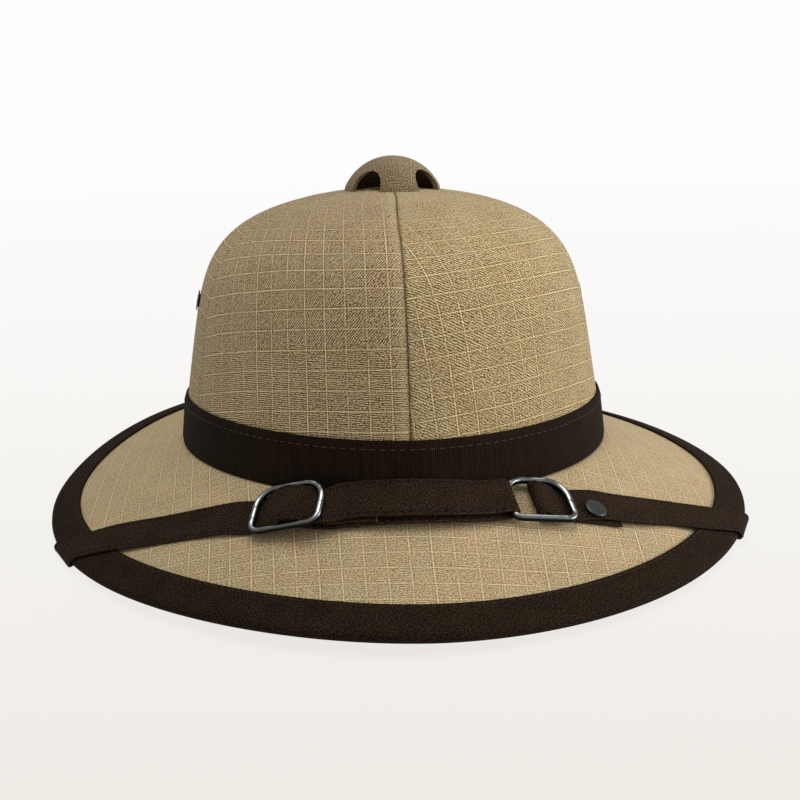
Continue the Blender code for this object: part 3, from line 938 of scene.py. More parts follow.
@dataclass(frozen=True)
class Stitch:
    """Spacing and size of one kind of stitch, and how far it may tip, in radians."""

    pitch: float
    length: float
    radius: float
    seed: int
    waver: float = 0.06

    def values(self) -> dict[str, float]:
        """Inputs of the stitch tree, in metres.

        Returns:
            The values by input name.
        """
        return {
            "Pitch": self.pitch * MM,
            "Stitch Length": self.length * MM,
            "Thread Radius": self.radius * MM,
            "Waver": self.waver,
            "Seed": self.seed,
        }


class StitchTree:
    """Geometry Nodes that lay stitches of one thread along a line."""

    def __init__(self) -> None:
        """Builds the tree with named inputs."""
        tree = bpy.data.node_groups.new("stitch_row", "GeometryNodeTree")
        self.tree = tree
        inputs = {
            "Line": "Geometry", "Pitch": "Float", "Stitch Length": "Float", "Thread Radius": "Float",
            "Waver": "Float", "Seed": "Int", "Thread": "Material",
        }
        for name, kind in inputs.items():
            tree.interface.new_socket(name, in_out="INPUT", socket_type=f"NodeSocket{kind}")
        tree.interface.new_socket("Stitches", in_out="OUTPUT", socket_type="NodeSocketGeometry")
        start = tree.nodes.new("NodeGroupInput").outputs
        waver, radius = start["Waver"], start["Thread Radius"]
        path = {0: self.add("GeometryNodeMeshToCurve", None, {0: start["Line"]}), "Length": start["Pitch"]}
        spaced = self.add("GeometryNodeResampleCurve", {"mode": "LENGTH"}, path)
        bead = self.add("GeometryNodeMeshUVSphere", None, {"Segments": 6, "Rings": 5, "Radius": 1.0})
        half = self.add("ShaderNodeMath", {"operation": "MULTIPLY"}, {0: start["Stitch Length"], 1: 0.5})
        size = self.add("ShaderNodeCombineXYZ", None, {"X": radius, "Y": radius, "Z": half})
        tangent = self.add("GeometryNodeInputTangent")
        turn = self.add("FunctionNodeAlignRotationToVector", {"axis": "Z"}, {"Vector": tangent})
        back = self.add("ShaderNodeMath", {"operation": "MULTIPLY"}, {0: waver, 1: -1.0})
        most = self.add("ShaderNodeCombineXYZ", None, {"X": waver, "Y": waver})
        least = self.add("ShaderNodeCombineXYZ", None, {"X": back, "Y": back})
        span = {0: least, 1: most, "Seed": start["Seed"]}
        tip = self.add("FunctionNodeRandomValue", {"data_type": "FLOAT_VECTOR"}, span)
        tip_turn = self.add("FunctionNodeEulerToRotation", None, {0: tip})
        tipped = self.add("FunctionNodeRotateRotation", {"rotation_space": "LOCAL"}, {0: turn, 1: tip_turn})
        beads = {"Points": spaced, "Instance": bead, "Rotation": tipped, "Scale": size}
        laid = self.add("GeometryNodeInstanceOnPoints", None, beads)
        real = self.add("GeometryNodeRealizeInstances", None, {0: laid})
        smooth = self.add("GeometryNodeSetShadeSmooth", None, {0: real})
        dressed = self.add("GeometryNodeSetMaterial", None, {0: smooth, "Material": start["Thread"]})
        add_node(tree, "NodeGroupOutput", None, {"Stitches": dressed})

    def add(
        self,
        kind: str,
        settings: Mapping[str, Any] | None = None,
        sockets: Mapping[str | int, Any] | None = None,
    ) -> bpy.types.NodeSocket:
        """Adds a node to the tree and returns its first output."""
        return add_node(self.tree, kind, settings, sockets)[0]

    def sew(
        self,
        name: str,
        lines: Iterable[Array],
        thread: Material,
        stitch: Stitch,
        closed: bool = False,
    ) -> Piece:
        """Sews rows of stitches and makes them one plain mesh.

        Args:
            name: The piece's name.
            lines: Points of each row, in millimetres.
            thread: The thread's material.
            stitch: The kind of stitch.
            closed: Whether each row runs round and meets itself.

        Returns:
            The new object.
        """
        points, edges = [], []
        for line in lines:
            first = len(points)
            points += [tuple(point) for point in np.asarray(line) * MM]
            edges += [(i, i + 1) for i in range(first, len(points) - 1)]
            if closed:
                edges.append((len(points) - 1, first))
        mesh = bpy.data.meshes.new(name)
        mesh.from_pydata(points, edges, [])
        piece = add_object(name, mesh)
        modifier = piece.modifiers.new("stitches", "NODES")
        modifier.node_group = self.tree
        values = {**stitch.values(), "Thread": thread}
        for item in self.tree.interface.items_tree:
            if item.in_out == "INPUT" and item.name in values:
                modifier[item.identifier] = values[item.name]
        plain_mesh(piece)
        return piece


@dataclass
class Crown:
    """Six cloth gores over the stiff crown, joined at seams."""

    shape: HelmetShape
    seams: tuple[float, ...] = (-180.0, -122.0, -68.0, 0.0, 73.0, 122.0, 180.0)
    names: tuple[str, ...] = (
        "back_left", "side_left", "front_left", "front_right", "side_right", "back_right",
    )
    grain_at: tuple[float, ...] = (-150.0, -94.0, -2.0, 40.0, 98.0, 150.0)
    grain_shift: tuple[float, ...] = (2.0, 5.0, 4.1, 12.6, 1.0, 3.0)
    grain_drop: float = 0.7
    front_drift: float = 2.2
    vent_radius: float = 11.0
    foot_rises: tuple[float, ...] = (-1.0, -0.6, -0.2)
    rows: int = 71
    middle_cols: int = 30
    seam_gap: float = 0.04
    seam_depth: float = 0.8
    seam_reach: float = 0.65
    pinch_depth: float = 1.3
    pinch_reach: float = 8.5
    ridge_width: float = 4.2
    ridge_height: float = 0.34
    plain_ridge: float = 0.45
    plain_pinch: float = 0.2
    grain_bend: float = 440.0

    def rises(self) -> Array:
        """Rises that cut the profile into even rows from the foot to the vent hole.

        Returns:
            The rises, below 0 for the foot.
        """
        shape = self.shape
        half = sum(shape.ring_half) / 2
        fine = np.sin(np.pi / 2 * np.linspace(0.0, 1.0, 2400))
        fine = fine[shape.share(fine) * half > self.vent_radius]
        rise = fine * (shape.crown_top - shape.band_top)
        length = run_along(np.stack([shape.share(fine) * half, rise], -1))
        even = np.interp(np.linspace(0.0, length[-1], self.rows), length, fine)
        return np.concatenate([self.foot_rises, even])

    def columns(self) -> Array:
        """Shares across a gore, close together near its seams.

        Returns:
            The shares, from 0 to 1.
        """
        edge = np.array([0.0, 0.0012, 0.003, 0.0055, 0.0085, 0.0125, 0.018, 0.025, 0.034, 0.045, 0.06])
        middle = np.linspace(0.08, 0.92, self.middle_cols)
        return np.concatenate([edge, middle, 1.0 - edge[::-1]])

    def across(self, rise: Array, start: float | Array, end: float | Array, steps: int = 48) -> Array:
        """Signed length round the crown from one angle to another at each rise.

        Args:
            rise: Rise of each place, 0 at the band and 1 at the top.
            start: Angle at which it starts.
            end: Angle at which it ends.
            steps: Points it is measured at.

        Returns:
            The lengths, below 0 where the end comes first.
        """
        rise, start, end = np.broadcast_arrays(rise, start, end)
        turn = start[..., None] + (end - start)[..., None] * np.linspace(0.0, 1.0, steps)
        points = self.shape.crown(turn, rise[..., None])
        run = np.linalg.norm(np.diff(points, axis=-2), axis=-1).sum(-1)
        return run * np.sign(end - start)

    def relief(self, angle: Array, rise: Array, left: Array, right: Array, folded: bool) -> Array:
        """Height of a gore's cloth over the crown.

        Args:
            angle: Places round the crown.
            rise: Their rises.
            left: Length of cloth to the seam on the left of each.
            right: Length of cloth to the seam on its right.
            folded: Whether the fold of the front seam lies under the gore's right edge.

        Returns:
            The heights, below 0 where the cloth is drawn in.
        """
        near = np.minimum(left, right)
        turn = np.radians(angle)
        slack = 0.12 * np.sin(3.1 * turn + 4.0 * rise) + 0.1 * np.sin(7.3 * turn - 6.0 * rise)
        slack = slack * np.clip(near / 12.0, 0.0, 1.0)
        allowance = right if folded else near
        bank = np.clip((self.ridge_width + 0.5 - allowance) / 0.6, 0.0, 1.0)
        bank = bank * bank * (3.0 - 2.0 * bank) * np.clip(allowance / 0.6, 0.0, 1.0)
        ridge = self.ridge_height * (1.0 if folded else self.plain_ridge) * bank
        pinch = np.clip(1.0 - allowance / self.pinch_reach, 0.0, 1.0) ** 2
        pinch = self.pinch_depth * (1.0 if folded else self.plain_pinch) * pinch
        reach = self.shape.ring_half[0] * self.shape.share(np.maximum(rise, 0.0))
        fade = np.clip(reach / 30.0 - 0.4, 0.0, 1.0)
        dive = np.clip(1.0 - near / self.seam_reach, 0.0, 1.0) ** 2
        return (ridge - pinch) * fade + slack - self.seam_depth * dive

    def chart(self, index: int, angle: Array, rise: Array) -> Array:
        """Places of a gore's points on its own cloth.

        Args:
            index: The gore's place in the list of names.
            angle: Places round the crown.
            rise: Their rises.

        Returns:
            The chart, in millimetres.
        """
        grain = self.grain_at[index]
        u = self.across(rise, grain, angle)
        v = run_along(self.shape.crown(np.full_like(rise, grain), rise)[:, 0])[:, None]
        v = v + u * u / (2.0 * self.grain_bend) - self.grain_drop
        return np.stack([u + self.grain_shift[index], v], -1)

    def gore(self, index: int, material: Material) -> Piece:
        """One gore with its seam edges turned in.

        Args:
            index: The gore's place in the list of names.
            material: Its finish.

        Returns:
            The new object.
        """
        rise = self.rises()[:, None]
        share = self.shape.share(np.maximum(rise, 0.0))
        reach = self.shape.ring_half[0] * share
        edge = np.degrees(self.seam_gap / 2 / reach)
        drift = np.degrees(self.front_drift / reach) * np.clip((0.62 - share) / 0.36, 0.0, 1.0)
        first, last = self.seams[index], self.seams[index + 1]
        start = first + edge + drift * (first == 0.0)
        end = last - edge + drift * (last == 0.0)
        angle = start + (end - start) * self.columns()[None, :]
        left = self.across(rise, start, angle, 12)
        right = self.across(rise, angle, end, 12)
        lift = self.relief(angle, rise, left, right, self.names[index] == "front_left")
        surface = self.shape.crown(angle, rise)
        side = self.shape.crown_side(angle, rise)
        outer = surface + side * lift[..., None]
        inner = surface - side * self.shape.wall
        shell = Shell(f"gore_{self.names[index]}", outer, inner, self.chart(index, angle, rise))
        return shell.build(material, 55.0)

    def build(self, cloths: Mapping[str, Material]) -> None:
        """Builds and seats all gores, each from its own cloth or the cloth of its side.

        Args:
            cloths: Cloths by gore or by side.
        """
        for index, name in enumerate(self.names):
            cloth = cloths.get(name, cloths[name.split("_")[1]])
            settle_piece(self.gore(index, cloth), Slot.CROWN, f"crown_panel_{name}")


@dataclass
class HatBand:
    """Ribbed ribbon round the crown's foot."""

    shape: HelmetShape
    thick: float = 1.4
    columns: int = 300
    rows: int = 10
    edge_round: float = 0.35
    stitch_drop: float = 3.1
    stitch_sink: float = 0.02
    stitch: Stitch = Stitch(3.6, 2.5, 0.2, seed=5)

    def build(self, ribbon: Material, thread: Material, stitches: StitchTree) -> None:
        """Builds the ribbon and the stitch row under its upper edge.

        Args:
            ribbon: The ribbon's material.
            thread: The thread's material.
            stitches: The tree that lays stitches.
        """
        shape = self.shape
        angle = np.linspace(-180.0, 180.0, self.columns + 1)
        share = np.linspace(0.0, 1.0, self.rows)[:, None]
        height = shape.band_height(share)
        outer = shape.place(shape.ring(angle[None, :], shape.band_lean * share, height))
        inner = shape.place(shape.ring(angle[None, :], shape.band_lean * share + self.thick, height))
        round_off = np.zeros_like(share)
        round_off[[0, -1]] = self.edge_round
        outer = outer + (inner - outer) * round_off[..., None]
        chart = np.stack(np.broadcast_arrays(run_along(outer[0])[None, :], height), -1)
        shell = Shell("band_ribbon", outer[:, :-1], inner[:, :-1], chart, closed=True)
        settle_piece(shell.build(ribbon), Slot.BAND, "hat_band")
        level = 1.0 - self.stitch_drop / (shape.band_top - shape.band_foot)
        inset = shape.band_lean * level - self.stitch_sink
        row = shape.place(shape.ring(angle[:-1], inset, shape.band_height(level)))
        settle_piece(stitches.sew("band_stitches", [row], thread, self.stitch, True), Slot.BAND)


@dataclass
class Brim:
    """Stiff cloth-covered brim with a tape folded round its rim."""

    shape: HelmetShape
    thick: float = 2.0
    columns: int = 288
    rows: int = 26
    fold_rows: int = 12
    tape_rows: tuple[float, ...] = (0.0, 0.06, 0.35, 0.7)
    tape_edge: float = 0.1
    stitch_in: float = 1.5
    stitch_sink: float = 0.02
    stitch: Stitch = Stitch(3.4, 2.5, 0.22, seed=9)
    grain_middle: float = 15.0
    grain_bend: float = 0.0022
    grain_reach: float = 140.0
    grain_shift: tuple[float, float] = (3.5, -0.9)

    def sheet(self, cloth: Material) -> Piece:
        """The brim's cloth-covered board.

        Args:
            cloth: The cloth's material.

        Returns:
            The new object.
        """
        shape = self.shape
        angle = np.linspace(-180.0, 180.0, self.columns + 1)[None, :]
        out = np.concatenate([[-1.0, -0.5], np.linspace(0.0, 1.0, self.rows)])[:, None]
        middle = shape.brim(angle, out)
        up = shape.brim_axes(angle, out)[2]
        half = self.thick / 2
        start = shape.ring(angle)[..., :2]
        way = unit(shape.rim(angle)[..., :2] - start)
        length = run_along(middle)
        chart = start + way * (length - length[2])[..., None]
        aside = chart[..., 0] - self.grain_middle
        chart[..., 1] -= self.grain_bend * aside ** 2 / (1.0 + (aside / self.grain_reach) ** 2)
        chart += np.array(self.grain_shift)
        cut = slice(None, -1)
        return Shell(
            "brim_board",
            shape.place(middle + up * half)[:, cut],
            shape.place(middle - up * half)[:, cut],
            chart, closed=True, flip=True,
        ).build(cloth)

    def tape(self, cloth: Material) -> Piece:
        """The tape folded round the rim.

        Args:
            cloth: The cloth's material.

        Returns:
            The new object.
        """
        shape = self.shape
        angle = np.linspace(-180.0, 180.0, self.columns + 1)
        start = shape.tape_start(angle)
        outs = [start + (1.0 - start) * share for share in self.tape_rows]
        fold = np.linspace(90.0, -90.0, self.fold_rows)
        rows = [shape.on_brim(angle, out, shape.tape_fold) for out in outs]
        rows += [shape.rim_fold(angle, shape.tape_fold, turn) for turn in fold]
        for out in reversed(outs):
            point, up = shape.on_brim(angle, out, -shape.tape_fold)
            rows.append((point, -up))
        middle, side = (np.array(part) for part in zip(*rows))
        half = np.full((len(rows), 1, 1), shape.tape_thick / 2)
        half[[0, -1]] = self.tape_edge
        outer, inner = middle + side * half, middle - side * shape.tape_thick / 2
        round_way = run_along(shape.rim(angle))[None, :]
        chart = np.stack(np.broadcast_arrays(round_way, run_along(outer)), -1)
        shell = Shell("rim_tape", outer[:, :-1], inner[:, :-1], chart, closed=True, flip=True)
        return shell.build(cloth, 60.0)

    def build(
        self,
        cloth: Material,
        tape: Material,
        thread: Material,
        stitches: StitchTree,
    ) -> None:
        """Builds the board, its tape and the tape's stitches above and below.

        Args:
            cloth: The cloth's material.
            tape: The tape's material.
            thread: The thread's material.
            stitches: The tree that lays stitches.
        """
        shape = self.shape
        settle_piece(self.sheet(cloth), Slot.BRIM, "brim")
        settle_piece(self.tape(tape), Slot.BINDING, "brim_binding")
        angle = np.linspace(-180.0, 180.0, self.columns + 1)[:-1]
        out = shape.tape_start(angle, self.stitch_in)
        lift = shape.tape_fold + shape.tape_thick / 2 - self.stitch_sink
        for place, side in (("top", 1.0), ("under", -1.0)):
            row = shape.on_brim(angle, out, side * lift)[0]
            piece = stitches.sew(f"tape_stitches_{place}", [row], thread, self.stitch, True)
            settle_piece(piece, Slot.BINDING)


@dataclass
class Turned:
    """A profile of radius and height turned about an axis."""

    name: str
    profile: Profile
    steps: int = 48

    def build(self, place: Array, up: Array, material: Material) -> Piece:
        """Makes the turned body standing on a point.

        Args:
            place: The foot of its axis, in millimetres.
            up: The way of its axis.
            material: Its finish.

        Returns:
            The new object.
        """
        shape = bmesh.new()
        turns = [2 * math.pi * i / self.steps for i in range(self.steps)]
        rings = []
        for radius, height in self.profile:
            spots = [(radius * math.cos(turn), radius * math.sin(turn), height) for turn in turns]
            rings.append([shape.verts.new(spot) for spot in (spots if radius else spots[:1])])
        pairs = list(zip(rings, rings[1:]))
        if self.profile[0][0] > 0.0:
            pairs.append((rings[-1], rings[0]))
        for low, high in pairs:
            for i in range(self.steps):
                j = (i + 1) % self.steps
                corners = [low[i % len(low)], low[j % len(low)], high[j % len(high)], high[i % len(high)]]
                shape.faces.new(list(dict.fromkeys(corners)))
        bmesh.ops.recalc_face_normals(shape, faces=shape.faces)
        turn = Vector(up).to_track_quat("Z", "Y").to_matrix().to_4x4()
        stand = Matrix.Translation(Vector(place) * MM) @ turn @ Matrix.Scale(MM, 4)
        bmesh.ops.transform(shape, matrix=stand, verts=shape.verts)
        mesh = bpy.data.meshes.new(self.name)
        shape.to_mesh(mesh)
        shape.free()
        dress_mesh(mesh, material, 50.0)
        return add_object(self.name, mesh)


def rounded(corners: Sequence[tuple[float, float]], radius: float, steps: int = 4) -> Profile:
    """Closed profile with its corners rounded.

    Args:
        corners: Its corners.
        radius: The largest rounding.
        steps: Points more on each corner.

    Returns:
        The rounded profile.
    """
    points = []
    count = len(corners)
    for i, corner in enumerate(corners):
        here = np.array(corner)
        before, after = np.array(corners[i - 1]), np.array(corners[(i + 1) % count])
        reach = min(radius, 0.45 * np.linalg.norm(before - here), 0.45 * np.linalg.norm(after - here))
        first = here + unit(before - here) * reach
        last = here + unit(after - here) * reach
        for t in np.linspace(0.0, 1.0, steps + 1):
            spot = (1 - t) ** 2 * first + 2 * t * (1 - t) * here + t * t * last
            points.append((float(spot[0]), float(spot[1])))
    return tuple(points)


@dataclass
class VentCap:
    """Cloth-covered dome over the vent hole, open in two arches at its front."""

    shape: HelmetShape
    x: float = 2.2
    y: float = 4.0
    foot: float = 107.3
    foot_sink: float = 0.5
    sphere: float = 22.5
    radius: float = 20.7
    wall: float = 2.0
    arch_radius: float = 6.8
    arch_rise: float = 1.3
    arches: tuple[float, ...] = (-38.5, 48.5)
    hem: float = 0.55
    steps: int = 128
    rows: int = 26

    def build(self, cloth: Material) -> None:
        """Turns the dome, cuts its arches and softens their edges.

        Args:
            cloth: The cloth's material.
        """
        drop = math.sqrt(self.sphere ** 2 - self.radius ** 2)
        inner = self.sphere - self.wall
        outward = np.linspace(0.0, math.asin(self.radius / self.sphere), self.rows)
        back = np.linspace(math.acos(drop / inner), 0.0, self.rows)
        profile = [(self.sphere * math.sin(turn), self.sphere * math.cos(turn) - drop) for turn in outward]
        profile += [(inner * math.sin(turn), inner * math.cos(turn) - drop) for turn in back]
        place = self.shape.place(np.array([self.x, self.y, self.foot]))
        dome = Turned("vent_dome", tuple(profile), self.steps).build(place, (0.0, 0.0, 1.0), cloth)
        for vertex in dome.data.vertices:
            if vertex.co.z < (place[2] + 0.1) * MM:
                spot = np.array(vertex.co) / MM - np.array(self.shape.seat)
                height = self.shape.top_height(spot[0], spot[1]) - self.foot_sink
                vertex.co.z = (height + self.shape.seat[2]) * MM
        cutters = []
        near, far = 0.3 * self.sphere, 1.7 * self.sphere
        bar = ((0.0, near), (self.arch_radius, near), (self.arch_radius, far), (0.0, far))
        middle = place + np.array([0.0, 0.0, self.arch_rise])
        for heading in np.radians(self.arches):
            way = (math.sin(heading), -math.cos(heading), 0.0)
            cutters.append(Turned("arch_cutter", bar, 96).build(middle, way, cloth))
            modifier = dome.modifiers.new("arch", "BOOLEAN")
            modifier.operation = "DIFFERENCE"
            modifier.solver = "EXACT"
            modifier.object = cutters[-1]
        bevel = dome.modifiers.new("hem", "BEVEL")
        bevel.width = self.hem * MM
        bevel.segments = 4
        bevel.limit_method = "ANGLE"
        bevel.angle_limit = math.radians(50.0)
        mesh = plain_mesh(dome)
        for cutter in cutters:
            bpy.data.objects.remove(cutter)
        self.lay_chart(mesh, place, drop)
        dress_mesh(mesh, cloth, 60.0)
        settle_piece(dome, Slot.CAP, "vent_cap")

    def lay_chart(self, mesh: bpy.types.Mesh, place: Array, drop: float) -> None:
        """Lays the cloth's chart over the dome from its top.

        Args:
            mesh: The dome's mesh.
            place: The foot of its axis.
            drop: Depth of the sphere's centre below that foot.
        """
        points = np.empty(len(mesh.vertices) * 3)
        mesh.vertices.foreach_get("co", points)
        rel = points.reshape(-1, 3) / MM - place + np.array([0.0, 0.0, drop])
        flat = np.linalg.norm(rel[:, :2], axis=1)
        polar = np.arctan2(flat, rel[:, 2])
        chart = rel[:, :2] / np.maximum(flat, 1e-6)[:, None] * (polar * self.sphere)[:, None]
        corners = np.empty(len(mesh.loops), dtype=np.int32)
        mesh.loops.foreach_get("vertex_index", corners)
        layer = mesh.uv_layers.get(CHART) or mesh.uv_layers.new(name=CHART)
        layer.data.foreach_set("uv", (chart[corners] * MM).astype(np.float32).ravel())


@dataclass
class Eyelets:
    """A dark eyelet through each side of the crown."""

    shape: HelmetShape
    angles: tuple[float, float] = (-83.0, 88.0)
    rise: float = 0.48
    flange: float = 4.5
    hole: float = 2.25
    barrel: float = 2.8
    depth: float = 2.9
    lift: float = 0.3

    def build(self, metal: Material) -> None:
        """Builds and seats both eyelets.

        Args:
            metal: The metal's material.
        """
        corners = (
            (self.hole, 0.6),
            (self.barrel + 0.3, 0.85),
            (self.flange - 0.3, 0.65),
            (self.flange, self.lift),
            (self.barrel, self.lift),
            (self.barrel, -self.depth),
            (self.hole, -self.depth),
        )
        for name, angle in zip(("left", "right"), self.angles):
            place = self.shape.crown(angle, self.rise)
            out = self.shape.crown_side(angle, self.rise)
            ring = Turned(f"eyelet_ring_{name}", rounded(corners, 0.3), 48).build(place, out, metal)
            settle_piece(ring, Slot.DULL_METAL, f"eyelet_{name}")


@dataclass
class SlideFrame:
    """Three-bar slide frame lying over the brim and the directions of its own plane."""

    shape: HelmetShape
    name: str
    ends: tuple[tuple[float, float, float], tuple[float, float, float]]
    length: float
    bar_shift: float
    roll: float
    corners: tuple[float, float, float, float]
    height: float = 20.6
    wire: float = 1.0
    swell: float = 1.22
    bar_share: float = 0.92
    strap_wrap: float = 1.75
    strap_shift: float = 0.0

    def __post_init__(self) -> None:
        """Works out where the frame lies."""
        first, last = (self.shape.on_brim(*end)[0] for end in self.ends)
        angle, out, _ = (sum(pair) / 2 for pair in zip(*self.ends))
        self.centre = (first + last) / 2
        self.along = unit(last - first)
        up = self.shape.on_brim(angle, out, 0.0, self.roll)[1]
        self.across = unit(np.cross(up, self.along))
        self.up = np.cross(self.along, self.across)
        self.reach = self.length / 2 - self.wire

    def spot(self, run: float, rise: float, flipped: bool = False) -> Knot:
        """Knot in the frame's own plane, run along the strap and rise above it."""
        place = self.centre + self.along * run + self.up * rise + self.across * self.strap_shift
        return Knot(place, -self.up if flipped else self.up)

    def wrap(self, run: float, start: float, end: float, steps: int = 5) -> list[Knot]:
        """Knots round a bar, from one turn to another in degrees above the strap's way.

        Args:
            run: Place of the bar along the strap.
            start: First turn.
            end: Last turn.
            steps: How many knots.

        Returns:
            The knots in their order.
        """
        knots = []
        for turn in np.radians(np.linspace(start, end, steps)):
            side = self.along * math.cos(turn) + self.up * math.sin(turn)
            knots.append(Knot(self.centre + self.along * run + side * self.strap_wrap, side))
        return knots

    def build(self, metal: Material) -> None:
        """Bends the wire, adds the middle bar and seats the frame.

        Args:
            metal: The metal's material.
        """
        half_height = self.height / 2 - self.wire
        path = []
        for index, (side_x, side_y) in enumerate(((1, 1), (-1, 1), (-1, -1), (1, -1))):
            bend = self.corners[index] - self.wire
            for turn in np.radians(90.0 * index + np.linspace(0.0, 90.0, 13)):
                x = side_x * (self.reach - bend) + bend * math.cos(turn)
                y = side_y * (half_height - bend) + bend * math.sin(turn)
                path.append((x, y))
        bar = [(self.bar_shift, y) for y in np.linspace(-half_height, half_height, 9)]
        points, faces = [], []
        self.sweep(np.array(path), True, points, faces)
        self.sweep(np.array(bar), False, points, faces)
        placed = [self.centre + self.along * x + self.across * y + self.up * z for x, y, z in points]
        name = f"slide_frame_{self.name}"
        frame = make_piece(name, np.array(placed) * MM, faces, metal, None, 70.0)
        settle_piece(frame, Slot.BRIGHT_METAL, f"slider_{self.name}")

    def sweep(
        self,
        line: Array,
        closed: bool,
        points: list[tuple[float, float, float]],
        faces: list[tuple[int, ...]],
        sides: int = 20,
    ) -> None:
        """Adds a round wire along a flat line to lists of points and faces.

        Args:
            line: Points of the wire's centre line.
            closed: Whether it meets itself.
            points: The points so far.
            faces: The faces so far.
            sides: Sides of the round wire.
        """
        first, count = len(points), len(line)
        way = unit(np.roll(line, -1, axis=0) - np.roll(line, 1, axis=0)) if closed else headings(line)
        radius = self.wire * (self.swell if closed else self.bar_share)
        for (x, y), (way_x, way_y) in zip(line, way):
            for turn in np.linspace(0.0, 2 * math.pi, sides, endpoint=False):
                aside, high = radius * math.cos(turn), radius * math.sin(turn)
                points.append((x + way_y * aside, y - way_x * aside, high))
        for i in range(count if closed else count - 1):
            low, high = first + i * sides, first + (i + 1) % count * sides
            for j in range(sides):
                k = (j + 1) % sides
                faces.append((low + j, high + j, high + k, low + k))
        if not closed:
            faces.append(tuple(range(first, first + sides)))
            faces.append(tuple(range(first + count * sides - 1, first + (count - 1) * sides - 1, -1)))


